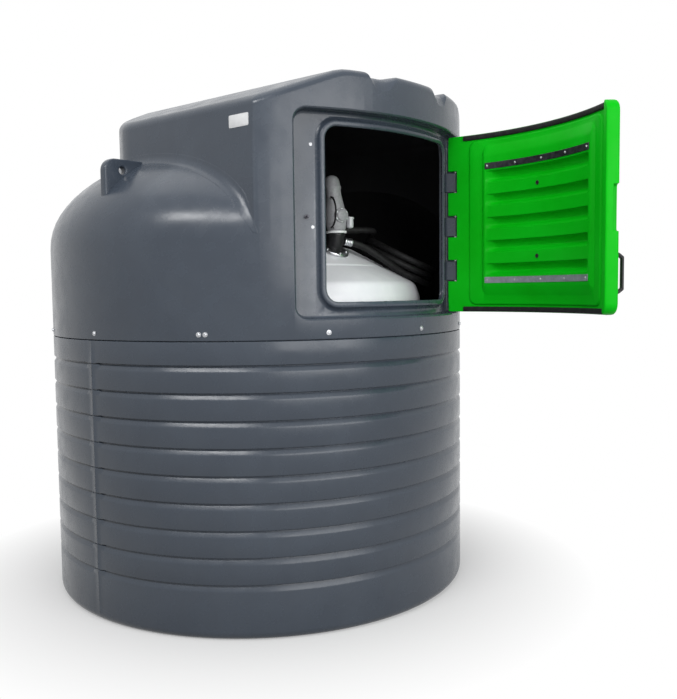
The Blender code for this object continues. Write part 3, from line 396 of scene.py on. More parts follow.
def moulded(name, dark, middle, light, sheen, gloss):
    made, nodes, links, shader = finish(name)
    place = place_of(nodes)
    cloud = noise(nodes, links, place, 2.6, 5.0, 0.62, 0.4)
    colour = tint(nodes, links, cloud, [(0.30, dark), (0.72, light), (0.50, middle)])
    links.new(colour, shader.inputs["Base Color"])
    patch = noise(nodes, links, place, 11.0, 4.0, 0.6)
    links.new(spread(nodes, links, patch, sheen - 0.06, sheen + 0.08), shader.inputs["Roughness"])
    shader.inputs["Specular IOR Level"].default_value = gloss
    rounded = add_node(nodes, "Bevel", Radius=EDGE_ROUND)
    rounded.samples = 4
    waves = noise(nodes, links, place, 5.0, 2.0, 0.5)
    wavy = bump(nodes, links, waves, 0.35, 0.004, rounded.outputs["Normal"])
    peel = noise(nodes, links, place, 260.0, 3.0, 0.6)
    links.new(bump(nodes, links, peel, 0.10, 0.0004, wavy), shader.inputs["Normal"])
    return made


grey_plastic = moulded(
    "slate grey moulding",
    (0.046, 0.059, 0.080), (0.053, 0.067, 0.089), (0.061, 0.077, 0.101), sheen=0.25, gloss=0.42,
)
green_plastic = moulded(
    "green moulding",
    (0.0015, 0.465, 0.0050), (0.0020, 0.520, 0.0080), (0.0030, 0.575, 0.0120), sheen=0.44, gloss=0.10,
)
# The hood's hollow inside is the same grey moulding. This near-black finish is painted shade, standing for
# the dark that fills it.
painted_shade_skin = moulded(
    "inner skin in painted shade",
    (0.030, 0.031, 0.033), (0.038, 0.039, 0.041), (0.046, 0.047, 0.049), sheen=0.62, gloss=0.10,
)
print("finishes:", grey_plastic.name, "and", green_plastic.name)


# %% Nodes for the small parts' finishes
RELIEF_DEPTH = 0.0004


def plain_finish(name, dark, light, low, high, scale, metal=0.0, relief=0.12):
    """Two close colours, an uneven sheen and a fine relief, all at the part's own scale."""
    made, nodes, links, shader = finish(name)
    place = place_of(nodes)
    grain = noise(nodes, links, place, scale, 4.0, 0.6, 0.2)
    links.new(tint(nodes, links, grain, [(0.35, dark), (0.68, light)]), shader.inputs["Base Color"])
    wear = noise(nodes, links, place, scale * 3.0, 3.0, 0.55)
    links.new(spread(nodes, links, wear, low, high), shader.inputs["Roughness"])
    shader.inputs["Metallic"].default_value = metal
    fine = noise(nodes, links, place, scale * 9.0, 2.0, 0.5)
    links.new(bump(nodes, links, fine, relief, RELIEF_DEPTH), shader.inputs["Normal"])
    return made


natural_plastic = plain_finish("natural inner tank", (0.79, 0.79, 0.84), (0.85, 0.85, 0.89), 0.30, 0.44, 9.0)
black_plastic = plain_finish("black plastic", (0.010, 0.010, 0.011), (0.022, 0.022, 0.024), 0.32, 0.50, 60.0)
black_rubber = plain_finish("black rubber", (0.008, 0.008, 0.008), (0.019, 0.019, 0.020), 0.48, 0.70, 45.0)
zinc_steel = plain_finish(
    "zinc plated steel", (0.42, 0.43, 0.45), (0.62, 0.63, 0.65), 0.24, 0.42, 70.0, metal=1.0
)
soft_aluminium = plain_finish(
    "mill aluminium", (0.33, 0.36, 0.40), (0.46, 0.49, 0.54), 0.34, 0.52, 40.0, metal=1.0
)
dark_steel = plain_finish(
    "dull steel strip", (0.055, 0.055, 0.066), (0.11, 0.11, 0.125), 0.34, 0.55, 40.0, metal=1.0
)
cast_paint = plain_finish(
    "painted casting", (0.27, 0.27, 0.285), (0.35, 0.35, 0.37), 0.42, 0.60, 80.0, relief=0.35
)
white_plate = plain_finish("bare white plate", (0.74, 0.75, 0.76), (0.82, 0.83, 0.84), 0.34, 0.48, 30.0)
clear_bowl = plain_finish("clear bowl", (0.46, 0.47, 0.49), (0.56, 0.57, 0.59), 0.10, 0.22, 30.0)
clear_bowl.node_tree.nodes["Principled BSDF"].inputs["Coat Weight"].default_value = 0.8
for dull in (black_plastic, black_rubber):
    dull.node_tree.nodes["Principled BSDF"].inputs["Specular IOR Level"].default_value = 0.22
hose.data.materials.append(black_rubber)


def dress(piece, body, finish_of, nodes=()):
    piece.data.materials.clear()
    piece.data.materials.append(finish_of)
    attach(piece, body)
    if nodes:
        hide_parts(*nodes)
    return piece


# %% [markdown]
# ## The bund, a ribbed vessel
#
# The lower moulding is a plain drum with nine grooves pressed into it for stiffness. Under
# each flat band the wall steps in sharply, then slopes out again to the band below, so each
# groove shows a dark line over a lit slope. The section is drawn once as a loop of points,
# with small rounds where the mould has them, and spun right round.

# %% Draw the bund's section and spin it
def groove_points(line):
    inward = (
        (0.0000, -0.0335), (0.0006, -0.0290), (0.0024, -0.0245), (0.0108, -0.0100),
        (0.0130, -0.0062), (0.0138, -0.0040), (0.0128, -0.0016), (0.0050, -0.0004),
        (0.0014, 0.0012), (0.0000, 0.0042),
    )
    return [(BODY - depth, line + rise) for depth, rise in inward]


FOOT_ROUND = 0.040
FIRST_GROOVE = 0.2504
GROOVE_PITCH = 0.1207
section = []
for k in range(7):
    turn = math.radians(-90.0 + 15.0 * k)
    section.append((BODY - FOOT_ROUND + FOOT_ROUND * math.cos(turn), FOOT_ROUND * (1.0 + math.sin(turn))))
for k in range(9):
    section += groove_points(FIRST_GROOVE + GROOVE_PITCH * k)
section += [
    (BODY, SEAM - 0.0060), (BODY - 0.0010, SEAM - 0.0026), (BODY - 0.0040, SEAM - 0.0012),
    (BODY - 0.0140, SEAM - 0.0006), (BODY - 0.0140, SEAM + 0.070), (BODY - 0.0260, SEAM + 0.070),
    (BODY - 0.0260, SEAM - 0.0123), (BODY - 0.0260, SEAM - 0.0243), (BODY - 0.0260, 0.052),
    (BODY - 0.0540, 0.0120), (BODY - 0.0750, 0.0120), (BODY - 0.0750, 0.0),
]
bund = spun("ribbed_bund", section, 144)
print("bund faces:", len(bund.data.polygons))

# %% [markdown]
# Where the two halves of the mould met, an upright strip has no grooves, and a thin raised
# line runs down its middle. Three cuts on each side of the middle give the mesh columns
# there. Those inside the strip are then drawn out to the full radius, and the middle one a
# little further.

# %% Press the grooves out at the parting strips
PARTING_HALF = 0.0325
PARTING_FADE = 0.014
LINE_HALF = 0.0016
half_cuts = (LINE_HALF, PARTING_HALF, PARTING_HALF + PARTING_FADE)
bpy.ops.object.mode_set(mode="EDIT")
for offset in (*[-cut for cut in reversed(half_cuts)], *half_cuts):
    bpy.ops.mesh.select_all(action="SELECT")
    bpy.ops.mesh.bisect(plane_co=(0.0, offset, 0.0), plane_no=(0.0, 1.0, 0.0))
bpy.ops.object.mode_set(mode="OBJECT")
for vert in bund.data.vertices:
    radius = math.hypot(vert.co.x, vert.co.y)
    if BODY - 0.0139 < radius < BODY - 1e-6 and 0.06 < vert.co.z < SEAM - 0.02:
        if abs(vert.co.y) < PARTING_HALF + 1e-4:
            vert.co.x = math.copysign(math.sqrt(BODY * BODY - vert.co.y * vert.co.y), vert.co.x)
    if abs(vert.co.y) < LINE_HALF / 2.0 and radius > BODY - 0.0139 and 0.05 < vert.co.z < SEAM - 0.01:
        vert.co.x = math.copysign(BODY + 0.0012, vert.co.x)
smooth(bund, 38.0)
dress(bund, "tank", grey_plastic, ["bund_shell"])

# %% [markdown]
# ## Forms that follow the wall
#
# The door recess, the opening and the door itself are rounded rectangles bent round the
# wall. They could be modelled flat and bent with a modifier, but then their seats would
# drift. So one helper lays the outline on the wall as columns of points, ring over ring,
# each ring at its own radius and a little larger or smaller than the last. Rings close
# together make a rounded edge.

# %% A helper for wall forms
COLUMN_PITCH = 2.5
SMALLEST_ROUND = 0.002


def wall_form(name, span, heights, corner, levels):
    """Levels are (radius, growth along the wall, growth in height)."""
    left, right = span
    turns = [math.radians(90.0 * k / 7.0) for k in range(8)] if corner else [0.0]
    inner_left = left + degrees_along(corner)
    inner_right = right - degrees_along(corner)
    count = max(1, math.ceil((inner_right - inner_left) / COLUMN_PITCH))
    rings = []
    for radius, along, upright in levels:
        run = degrees_along(max(corner + along, SMALLEST_ROUND)) if corner else 0.0
        rise = max(corner + upright, SMALLEST_ROUND) if corner else 0.0
        start = left - degrees_along(along)
        end = right + degrees_along(along)
        columns = [(run * (1.0 - math.cos(t)), rise * (1.0 - math.sin(t))) for t in turns]
        row = [(start + out, drop) for out, drop in columns]
        row += [(inner_left + (inner_right - inner_left) * k / count, 0.0) for k in range(1, count)]
        row += [(end - out, drop) for out, drop in reversed(columns)]
        low = heights[0] - upright
        high = heights[1] + upright
        ring = [on_wall(a, radius, low + drop) for a, drop in row]
        rings.append(ring + [on_wall(a, radius, high - drop) for a, drop in reversed(row)])
    return skin(name, rings, merge=1e-6, banded=True)


def evenly(*levels):
    """Levels that grow as much in height as along the wall."""
    return [(radius, growth, growth) for radius, growth in levels]


# %% [markdown]
# ## The hood: drum, dome and cabinet
#
# The hood is one moulding. It begins as two simple solids, a drum with a dome and an upright
# block with a tent-shaped roof. Joined, they give the outside. The same two, made a wall's
# thickness smaller, are taken out again for the hollow inside.

# %% Spin the drum and dome
def dome_form(inset):
    radius = BODY - inset
    rise = DOME_RISE - inset
    foot = SEAM - (WALL if inset else 0.0)
    outline = [(0.0, foot)]
    if inset:
        outline.append((radius, foot))
    else:
        edge = ((0.0060, 0.0012), (0.0016, 0.0030), (0.0, 0.0080))
        outline += [(radius - into, foot + rise_here) for into, rise_here in edge]
    outline.append((radius, WALL_TOP))
    for k in range(1, 20):
        turn = math.radians(4.5 * k)
        outline.append((radius * math.cos(turn), WALL_TOP + rise * math.sin(turn)))
    outline.append((0.0, WALL_TOP + rise))
    return spun("dome_form", outline, 144)


# %% Build the cabinet block
CREST_SOFT = 0.035
ROOF_ROUND = 0.035
NOSE_ROUND = 0.038
FRONT_PITCH = 2.5
CREST_PITCH = 1.8
CABINET_SINK = 0.160


def roof_height(x, inset=0.0):
    slope = (CREST_Z - FLANK_Z) / (HALF_WIDTH - CREST_X)
    over = abs(x) - CREST_X
    if over <= -CREST_SOFT:
        drop = 0.0
    elif over < CREST_SOFT:
        drop = slope * (over + CREST_SOFT) ** 2 / (4.0 * CREST_SOFT)
    else:
        drop = slope * over
    return CREST_Z - drop - inset


def cabinet_row(inset):
    """Stations across the cabinet: x, front and rear y, and the two outward directions."""
    radius = BODY - inset
    half = HALF_WIDTH - inset
    rear = REAR_Y - inset
    corner = REAR_CORNER - inset
    nose = NOSE_ROUND - 0.5 * inset
    crest = math.degrees(math.asin(CREST_X / radius))
    centre_x = half - nose
    centre_y = -math.sqrt((radius - nose) ** 2 - centre_x ** 2)
    start = math.degrees(math.atan2(centre_x, -centre_y))
    near_crest = (crest - CREST_PITCH, crest, crest + CREST_PITCH)
    angles = [FRONT_PITCH * k for k in range(int(start / FRONT_PITCH) + 1)]
    angles = [a for a in angles if start - a > 0.8 and min(abs(a - c) for c in near_crest) > 0.6]
    angles += near_crest
    fronts = []
    for angle in sorted(angles):
        point = on_wall(angle, radius, 0.0)
        fronts.append((point.x, point.y, math.sin(math.radians(angle)), -math.cos(math.radians(angle))))
    for k in range(8):
        turn = math.radians(start + (90.0 - start) * k / 7.0)
        fronts.append((
            centre_x + nose * math.sin(turn), centre_y - nose * math.cos(turn),
            math.sin(turn), -math.cos(turn),
        ))
    row = []
    for x, y, nx, ny in fronts:
        lean = min(1.0, max(0.0, (x - (half - corner)) / corner))
        rise = math.sqrt(1.0 - lean * lean)
        row.append((x, y, rear - corner * (1.0 - rise), (nx, ny), (lean, rise)))
    mirrored = [(-x, f, r, (-n[0], n[1]), (-m[0], m[1])) for x, f, r, n, m in row[:0:-1]]
    return mirrored + row


def cabinet_form(inset):
    row = cabinet_row(inset)
    edge = ROOF_ROUND - 0.5 * inset
    turns = [math.radians(15.0 * k) for k in range(7)]
    steps = [(0.0, None)] + [(edge * (1.0 - math.cos(t)), edge * (1.0 - math.sin(t))) for t in turns]
    foot = WALL_TOP - CABINET_SINK * (2.0 if inset else 1.0)
    rings = []
    for draw_in, drop in steps:
        front = []
        rear = []
        for x, front_y, rear_y, normal, back in row:
            for holder, y, n in ((front, front_y, normal), (rear, rear_y, back)):
                px = x - n[0] * draw_in
                z = foot if drop is None else roof_height(px, inset) - drop
                holder.append((px, y - n[1] * draw_in, z))
        rings.append(front + rear[::-1])
    return skin("cabinet_form", rings, merge=1e-5, banded=True)


# %% [markdown]
# Two scoops are pressed into the roof's front edge, with a broad rib between them. Each is
# deepest at the front, where it rounds over the edge, and runs back as a shallow trough that
# rises to nothing. The wall towards the rib is gentle, the other one steep. The pair sits a
# little left of the middle.

# %% Shape a scoop
SCOOP_SHIFT = -0.060
SCOOP_TOP = (0.096, 0.312)
SCOOP_WALLS = (0.105, 0.070)
SCOOP_LENGTH = 1.100
SCOOP_MARKS = (
    (-0.030, 0.096), (0.0005, 0.080), (0.004, 0.066), (0.009, 0.052), (0.016, 0.039), (0.026, 0.028),
    (0.045, 0.019), (0.075, 0.015), (0.150, 0.012),
)


def swell(share):
    """From nought to one, level at both ends."""
    return (1.0 - math.cos(math.pi * share)) / 2.0


def scoop_form(side, inset):
    inner_top = SCOOP_TOP[0] - inset
    outer_top = SCOOP_TOP[1] + inset
    lip = CREST_Z - inset
    rings = []
    for run, depth in (*SCOOP_MARKS, (SCOOP_LENGTH + inset, -0.003)):
        shares = [k / 8.0 for k in range(9)]
        inner_wall = [(inner_top + SCOOP_WALLS[0] * t, lip + 0.0006 - depth * swell(t)) for t in shares]
        outer_wall = [(outer_top - SCOOP_WALLS[1] * t, lip + 0.0006 - depth * swell(t)) for t in shares]
        profile = [
            (inner_top - 0.036, lip + 0.055), (inner_top - 0.010, lip + 0.0040), *inner_wall,
            *outer_wall[::-1], (outer_top + 0.010, lip + 0.0040), (outer_top + 0.036, lip + 0.055),
        ]
        ring = []
        for out, z in profile:
            x = side * out + SCOOP_SHIFT
            ring.append((x, -math.sqrt(BODY * BODY - x * x) + run, max(z, lip - depth)))
        rings.append(ring)
    return skin("scoop_form", rings, split=True)


# %% [markdown]
# The door closes into a recess with rounded corners, a rounded rim and a soft foot to its
# floor. Inside it, a raised lip runs round the opening as a bead that the door's seals press
# on. Both are cut or added with wall forms whose first and last rings draw in or flare out.

# %% Join the hood and cut its hollows
def recess_form(inset):
    floor = FLOOR_RADIUS - inset
    levels = [
        (floor, inset - 0.013), (floor + 0.0018, inset - 0.0065), (floor + 0.0065, inset - 0.0018),
        (floor + 0.013, inset),
    ]
    if inset:
        levels.append((BODY + 0.060, inset))
    else:
        levels += [
            (BODY - 0.0100, 0.0), (BODY - 0.0052, 0.0012), (BODY - 0.0022, 0.0036),
            (BODY - 0.0004, 0.0072), (BODY + 0.0060, 0.0120), (BODY + 0.060, 0.014),
        ]
    return wall_form("recess_form", RECESS, RECESS_Z, 0.055, evenly(*levels))


def lip_form():
    return wall_form("lip_form", LIP_SPAN, OPENING_Z, 0.060, evenly(
        (1.0260, 0.0450), (1.0340, 0.0430), (1.0356, 0.0390), (1.0400, 0.0330), (1.0470, 0.0280),
        (1.0515, 0.0258), (1.0542, 0.0226), (1.0557, 0.0184), (1.0560, 0.0140),
    ))


def opening_form():
    return wall_form("opening_form", LIP_SPAN, OPENING_Z, 0.060, evenly(
        (1.0000, 0.0370), (1.0330, 0.0360), (1.0370, 0.0250), (1.0430, 0.0120), (1.0450, 0.0),
        (1.0500, 0.0), (1.0532, 0.0014), (1.0552, 0.0048), (1.0565, 0.0092), (1.0800, 0.0140),
    ))


hood = combine(dome_form(0.0), [cabinet_form(0.0)], "UNION")
combine(hood, [recess_form(0.0), scoop_form(1, 0.0), scoop_form(-1, 0.0)], "DIFFERENCE")
cavity = combine(dome_form(WALL), [cabinet_form(WALL)], "UNION")
combine(cavity, [recess_form(WALL), scoop_form(1, WALL), scoop_form(-1, WALL)], "DIFFERENCE")
hood.data.materials.clear()
hood.data.materials.append(grey_plastic)
# The cavity's faces take the near-black finish, which is painted shade.
cavity.data.materials.clear()
cavity.data.materials.append(painted_shade_skin)
combine(hood, [cavity], "DIFFERENCE", keep_finish=True)
combine(hood, [lip_form()], "UNION")
combine(hood, [opening_form()], "DIFFERENCE")
hood.name = "moulded_hood"
print("hood faces:", len(hood.data.polygons))

# %% [markdown]
# A moulding has no sharp inside corner: where the cabinet rises out of the dome, the plastic
# runs from one to the other in a wide hollow curve that catches the light. It is laid in as
# a strip along that line, tangent to the flank above and to the dome below.

# %% Lay the hollow curve round the cabinet's foot
def dome_height(x, y):
    share = min(1.0, (x * x + y * y) / (BODY * BODY))
    return WALL_TOP + DOME_RISE * math.sqrt(1.0 - share)


def along_flank(start, goal, way):
    """Points from one station to another along a straight flank."""
    x, y = start
    return [(x, y + (goal - y) * k / 18.0, way) for k in range(1, 18)]


def foot_path():
    """Stations round the cabinet where it stands on the dome: x, y and the way out."""
    row = cabinet_row(0.0)
    front = [(x, f, n) for x, f, r, n, m in row if math.hypot(x, f) < BODY - 0.0006]
    right = [station for station in front if station[0] > 0.5]
    left = [station for station in front if station[0] < -0.5]
    rear = [(x, r, m) for x, f, r, n, m in row]
    path = right + along_flank(right[-1][:2], rear[-1][1], (1.0, 0.0)) + rear[::-1]
    return path + along_flank(rear[0][:2], left[0][1], (-1.0, 0.0)) + left


def hollow_strip(reach):
    rings = []
    rim = BODY - 0.001
    for x, y, way in foot_path():
        root = Vector((x, y, dome_height(x, y)))
        away = Vector((way[0], way[1], 0.0))
        reach_here = reach * max(0.12, min(1.0, (BODY - math.hypot(x, y)) / 0.030))
        out = root + away * reach_here * 0.80
        inward = min(1.0, rim / math.hypot(out.x, out.y))
        foot = Vector((out.x * inward, out.y * inward, 0.0))
        foot.z = dome_height(foot.x, foot.y)
        top = root + Vector((0.0, 0.0, reach_here))
        shares = [k / 8.0 for k in range(9)]
        ring = [top * (1 - t) ** 2 + root * 2 * t * (1 - t) + foot * t * t for t in shares]
        ring.append(foot - Vector((0.0, 0.0, 0.004)) - away * 0.002)
        ring.append(root - away * 0.006 - Vector((0.0, 0.0, 0.006)))
        ring.append(top - away * 0.005)
        rings.append(ring)
    return skin("hollow_strip", rings)


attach(hood, "tank")
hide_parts("hood_shell", "cabinet_shell")
print("hood finishes:", [finish_used.name for finish_used in hood.data.materials])
strip = hollow_strip(0.040)
strip.data.materials.append(grey_plastic)
pick(hood)
strip.select_set(True)
bpy.ops.object.join()
smooth(hood, 34.0)

# %% [markdown]
# ## Lifting lugs
#
# On each flank a thick plate stands out from the cabinet, with a hole for a shackle. It is a
# box at heart: its outer top corner is bevelled round, the hole is cut through, its edges are
# softened, and what would reach inside the hood is cut off along the wall.

# %% Make the lifting lugs
def soften_edges(piece, width, segments):
    soften = piece.modifiers.new("soft edges", "BEVEL")
    soften.width = width
    soften.segments = segments
    soften.limit_method = "ANGLE"
    soften.angle_limit = math.radians(50.0)
    pick(piece)
    bpy.ops.object.modifier_apply(modifier=soften.name)


LUG_TOP = 2.156
LUG_HEIGHT = 0.276
LUG_THICK = 0.040
LUG_REACH = 0.221
LUG_ROUND = 0.060
LUG_HOLE_X = HALF_WIDTH + 0.123
LUG_HOLE_Z = LUG_TOP - 0.052
LUG_HOLE_RADIUS = 0.018


def make_lug(side, name, node):
    inner = HALF_WIDTH - 0.010
    outer = HALF_WIDTH + LUG_REACH
    middle = Vector((side * (inner + outer) / 2.0, 0.0, LUG_TOP - LUG_HEIGHT / 2.0))
    size = (outer - inner, LUG_THICK, LUG_HEIGHT)
    bpy.ops.mesh.primitive_cube_add(size=1.0, location=middle, scale=size)
    lug = start_piece(name)
    bpy.ops.object.transform_apply(location=True, rotation=True, scale=True)
    bm = bmesh.new()
    bm.from_mesh(lug.data)
    corner = [
        e for e in bm.edges
        if all(abs(v.co.x - side * outer) < 1e-4 and abs(v.co.z - LUG_TOP) < 1e-4 for v in e.verts)
    ]
    bmesh.ops.bevel(bm, geom=corner, offset=LUG_ROUND, segments=12, affect="EDGES", profile=0.5)
    bm.to_mesh(lug.data)
    bm.free()
    bpy.ops.mesh.primitive_cylinder_add(
        vertices=40, radius=LUG_HOLE_RADIUS, depth=0.10,
        location=(side * LUG_HOLE_X, 0.0, LUG_HOLE_Z), rotation=(math.radians(90.0), 0.0, 0.0),
    )
    bore = start_piece("lug_bore")
    combine(lug, [bore], "DIFFERENCE")
    soften_edges(lug, 0.007, 4)
    combine(lug, [dome_form(0.004), cabinet_form(0.004)], "DIFFERENCE")
    smooth(lug, 40.0)
    return dress(lug, "tank", grey_plastic, [node])


lugs = [make_lug(-1, "lug_left", "lifting_lug_left"), make_lug(1, "lug_right", "lifting_lug_right")]
print("lug faces:", [len(lug.data.polygons) for lug in lugs])

# %% [markdown]
# ## The door
#
# The door is a hollow moulding as well. Its free edge is deep, its hinge side thin, and its
# inner face has a low step and a raised panel with five channels across it for stiffness.
# It is made shut, in the recess, where every height is known, and swung open at the end.

# %% Shape the door shut in its recess
def cylinder_upright(name, centre, radius, low, high, sides=32):
    bpy.ops.mesh.primitive_cylinder_add(
        vertices=sides, radius=radius, depth=high - low,
        location=(centre.x, centre.y, (low + high) / 2.0),
    )
    piece = start_piece(name)
    bpy.ops.object.transform_apply(location=True, rotation=True, scale=True)
    return piece


def wall_block(name, angle, side, radial, heights):
    outward = on_wall(angle, 1.0, 0.0)
    along = Vector((-outward.y, outward.x, 0.0))
    bpy.ops.mesh.primitive_cube_add(size=1.0)
    piece = start_piece(name)
    for vert in piece.data.vertices:
        s = side[1] if vert.co.x > 0 else side[0]
        r = radial[1] if vert.co.y > 0 else radial[0]
        point = along * s + outward * r
        vert.co = (point.x, point.y, heights[1] if vert.co.z > 0 else heights[0])
    edit_all()
    leave_edit()
    return piece


NOTCH_HALF = 0.0545
hinge_axis = on_wall(HINGE, BODY, 0.0)
FLAP = HINGE + degrees_along(0.0245)
outer_rounds = ((1.0870, 0.0), (1.0935, -0.0014), (1.0975, -0.0050), (DOOR_FACE, -0.0110))
door = wall_form("green_door", (DOOR[0], FLAP), DOOR_Z, 0.050, evenly(
    (1.0400, -0.0070), (1.0414, -0.0030), (1.0445, -0.0008), (1.0490, 0.0), *outer_rounds,
))
behind_span = (DOOR[0] + degrees_along(0.034), DOOR[1] + 5.0)
behind = wall_form("behind", behind_span, (DOOR_Z[0] - 0.05, DOOR_Z[1] + 0.05), 0.0, [
    (1.000, 0.0060, 0.0), (1.0405, 0.0040, 0.0), (1.0440, 0.0012, 0.0), (1.0480, 0.0, 0.0),
    (1.0630, 0.0, 0.0), (1.0682, -0.0020, 0.0), (DOOR_SKIN, -0.0070, 0.0),
])
combine(door, [behind], "DIFFERENCE")
flap = wall_form("flap", (FLAP - degrees_along(0.075), FLAP), DOOR_Z, 0.008, evenly(
    (DOOR_SKIN, -0.0016), (DOOR_SKIN + 0.0018, -0.0004), (DOOR_SKIN + 0.0040, 0.0), *outer_rounds,
))
combine(door, [flap], "UNION")
step_span = (DOOR[0] + degrees_along(0.106), DOOR[1] - degrees_along(0.1386))
step = wall_form("step", step_span, (DOOR_Z[0] + 0.034, DOOR_Z[1] - 0.034), 0.040, evenly(
    (1.0620, -0.0090), (1.0624, -0.0068), (1.0638, -0.0044), (1.0658, -0.0022), (1.0680, -0.0006),
    (1.0700, 0.0), (1.0770, 0.0),
))
panel_span = (OPENING[0] + degrees_along(0.014), OPENING[1] - degrees_along(0.0995))
panel_z = (OPENING_Z[0] + 0.014, OPENING_Z[1] - 0.014)
PANEL_FACE = 1.046
panel = wall_form("panel", panel_span, panel_z, 0.045, [
    (1.0680, 0.004, 0.012), (1.0600, -0.0022, -0.0070), (1.0490, -0.0146, -0.0455),
    (1.0468, -0.0175, -0.0545), (PANEL_FACE, -0.0230, -0.0640),
])
combine(door, [step, panel], "UNION")
knuckles = []
for level in HINGE_LEVELS:
    for side in (-1, 1):
        near = level + side * NOTCH_HALF
        far = near + side * 0.040
        knuckles.append(cylinder_upright("knuckle", hinge_axis, 0.013, min(near, far), max(near, far)))
combine(door, knuckles, "UNION")

# %% [markdown]
# Five channels cross the panel. Each is a tilted groove, whose upper side lies in its own
# shade and whose lower side catches the light. It runs out at both ends, faster at the free
# edge than at the hinges. A finger grip is cut into the free edge, and the hinge side gets
# three notches for the arms and a bore for the pins.

# %% Cut the channels, the grip pocket and the hinge notches
CHANNEL_SECTION = (
    (-0.0088, 0.0310), (0.0, 0.0298), (0.00342, 0.0288), (0.0114, 0.0264), (0.03496, 0.0010),
    (0.0361, -0.0060), (0.03192, -0.0118), (0.0076, -0.0244), (0.00304, -0.0270), (0.0, -0.0288),
    (-0.0088, -0.0306),
)


def channel_form(level):
    left = panel_span[0] + degrees_along(0.030)
    right = panel_span[1] - degrees_along(0.026)
    base = PANEL_FACE - 0.0012
    rings = []
    for k in range(41):
        angle = left + (right - left) * k / 40.0
        from_left = math.radians(angle - left) * BODY
        from_right = math.radians(right - angle) * BODY
        fade = max(0.03, min(1.0, from_left / 0.016, from_right / 0.050))
        rings.append([
            on_wall(angle, base + (depth * fade if depth > 0 else depth), level + rise)
            for depth, rise in CHANNEL_SECTION
        ])
    return skin("channel", rings)


cuts = [channel_form(1.6270 + 0.1125 * k) for k in range(5)]
grip_span = (DOOR[0] - degrees_along(0.028), DOOR[0] + degrees_along(0.028))
cuts.append(wall_form("grip", grip_span, (1.76125, 1.95125), 0.012, evenly(
    (1.0730, -0.003), (1.0750, 0.0), (1.0920, 0.0), (1.0975, 0.0020), (1.1250, 0.010),
)))
for level in HINGE_LEVELS:
    heights = (level - NOTCH_HALF, level + NOTCH_HALF)
    cuts.append(wall_block("notch", HINGE, (-0.023, 0.055), (FLOOR_RADIUS, BODY + 0.048), heights))
    cuts.append(cylinder_upright("bore", hinge_axis, 0.0056, level - 0.105, level + 0.105))
combine(door, cuts, "DIFFERENCE")
smooth(door, 34.0)
print("door faces:", len(door.data.polygons))

# %% [markdown]
# Everything on the door is turned about the hinge pins by the same eighty degrees. The mesh
# itself is turned, not the object, so that the piece stays at the origin.

# %% Swing the door open
OPEN_DEGREES = 80.0
pivot = Matrix.Translation(hinge_axis)
SWING = pivot @ Matrix.Rotation(math.radians(OPEN_DEGREES), 4, "Z") @ pivot.inverted()


def hang(piece, finish_of, nodes):
    piece.data.transform(SWING)
    piece.data.update()
    return dress(piece, "door", finish_of, nodes)


hang(door, green_plastic, ["door_shell"])

# %% [markdown]
# ## Seals, clamping strips and plugs
#
# Two rubber seals lie along the door's top and bottom, and two metal strips are screwed over
# the panel, one of dull steel and one of aluminium. Seals and strips are thin wall forms whose
# last rings draw in, which rounds their edges.

# %% Make the seals
def door_span(left, right):
    return (DOOR[0] + degrees_along(left), DOOR[1] - degrees_along(right))


back = DOOR_SKIN - GAP
for name, low in (("seal_top", DOOR_Z[1] - 0.026), ("seal_bottom", DOOR_Z[0] + 0.002)):
    seal = wall_form(name + "_rubber", door_span(0.084, 0.1046), (low, low + 0.024), 0.004, [
        (back, 0.0, 0.0), (back - 0.0040, 0.0, 0.0), (back - 0.0064, -0.0010, -0.0016),
        (back - 0.0076, -0.0025, -0.0045), (back - 0.0080, -0.0040, -0.0090),
    ])
    smooth(seal, 40.0)
    hang(seal, black_rubber, [name])

# %% Make the strips
strip_face = PANEL_FACE - GAP
strip_span = (panel_span[0] + degrees_along(0.024), panel_span[1] - degrees_along(0.024))
STRIPS = (("strip_top", 2.130, dark_steel), ("strip_bottom", 1.576, soft_aluminium))
STRIP_HALF_WIDTH = 0.015
STRIP_THICK = 0.0030
for name, level, metal in STRIPS:
    heights = (level - STRIP_HALF_WIDTH, level + STRIP_HALF_WIDTH)
    plate = wall_form(name + "_plate", strip_span, heights, 0.002, evenly(
        (strip_face, 0.0), (strip_face - 0.0024, 0.0), (strip_face - STRIP_THICK, -0.0006),
    ))
    smooth(plate, 40.0)
    hang(plate, metal, [name])

# %% [markdown]
# ## Screws and bolts
#
# All the fasteners are one idea at several sizes: a flat washer, a domed head and a socket
# pressed into it. The half section is drawn once, scaled and spun. Copies of that mesh are
# then stood on the walls, each square to its seat, and joined into one piece for each row.

# %% Turn one fastener and stand copies on their seats
def make_fastener(name, size):
    section = [
        (0.0, 0.0), (1.00, 0.0), (1.00, 0.13), (0.94, 0.20), (0.70, 0.22), (0.68, 0.40), (0.62, 0.54),
        (0.48, 0.66), (0.30, 0.72), (0.22, 0.72), (0.19, 0.50), (0.0, 0.50),
    ]
    piece = spun(name, [(r * size, h * size) for r, h in section], 20)
    smooth(piece, 40.0)
    return piece


def standing(point, way):
    return Matrix.Translation(point) @ Vector(way).to_track_quat("Z", "Y").to_matrix().to_4x4()


def row_of(name, pattern, seats):
    """Copies of the pattern on (point, direction) seats, joined into one piece."""
    copies = []
    for point, way in seats:
        copied = pattern.copy()
        copied.data = pattern.data.copy()
        copied.data.transform(standing(point, way))
        scene.collection.objects.link(copied)
        copies.append(copied)
    pick(copies[0])
    for copied in copies[1:]:
        copied.select_set(True)
    bpy.ops.object.join()
    made = bpy.context.object
    made.name = name
    made.data.name = name
    return made


def wall_seat(angle, radius, height, way=1.0):
    return on_wall(angle, radius, height), on_wall(angle, 1.0, 0.0) * way


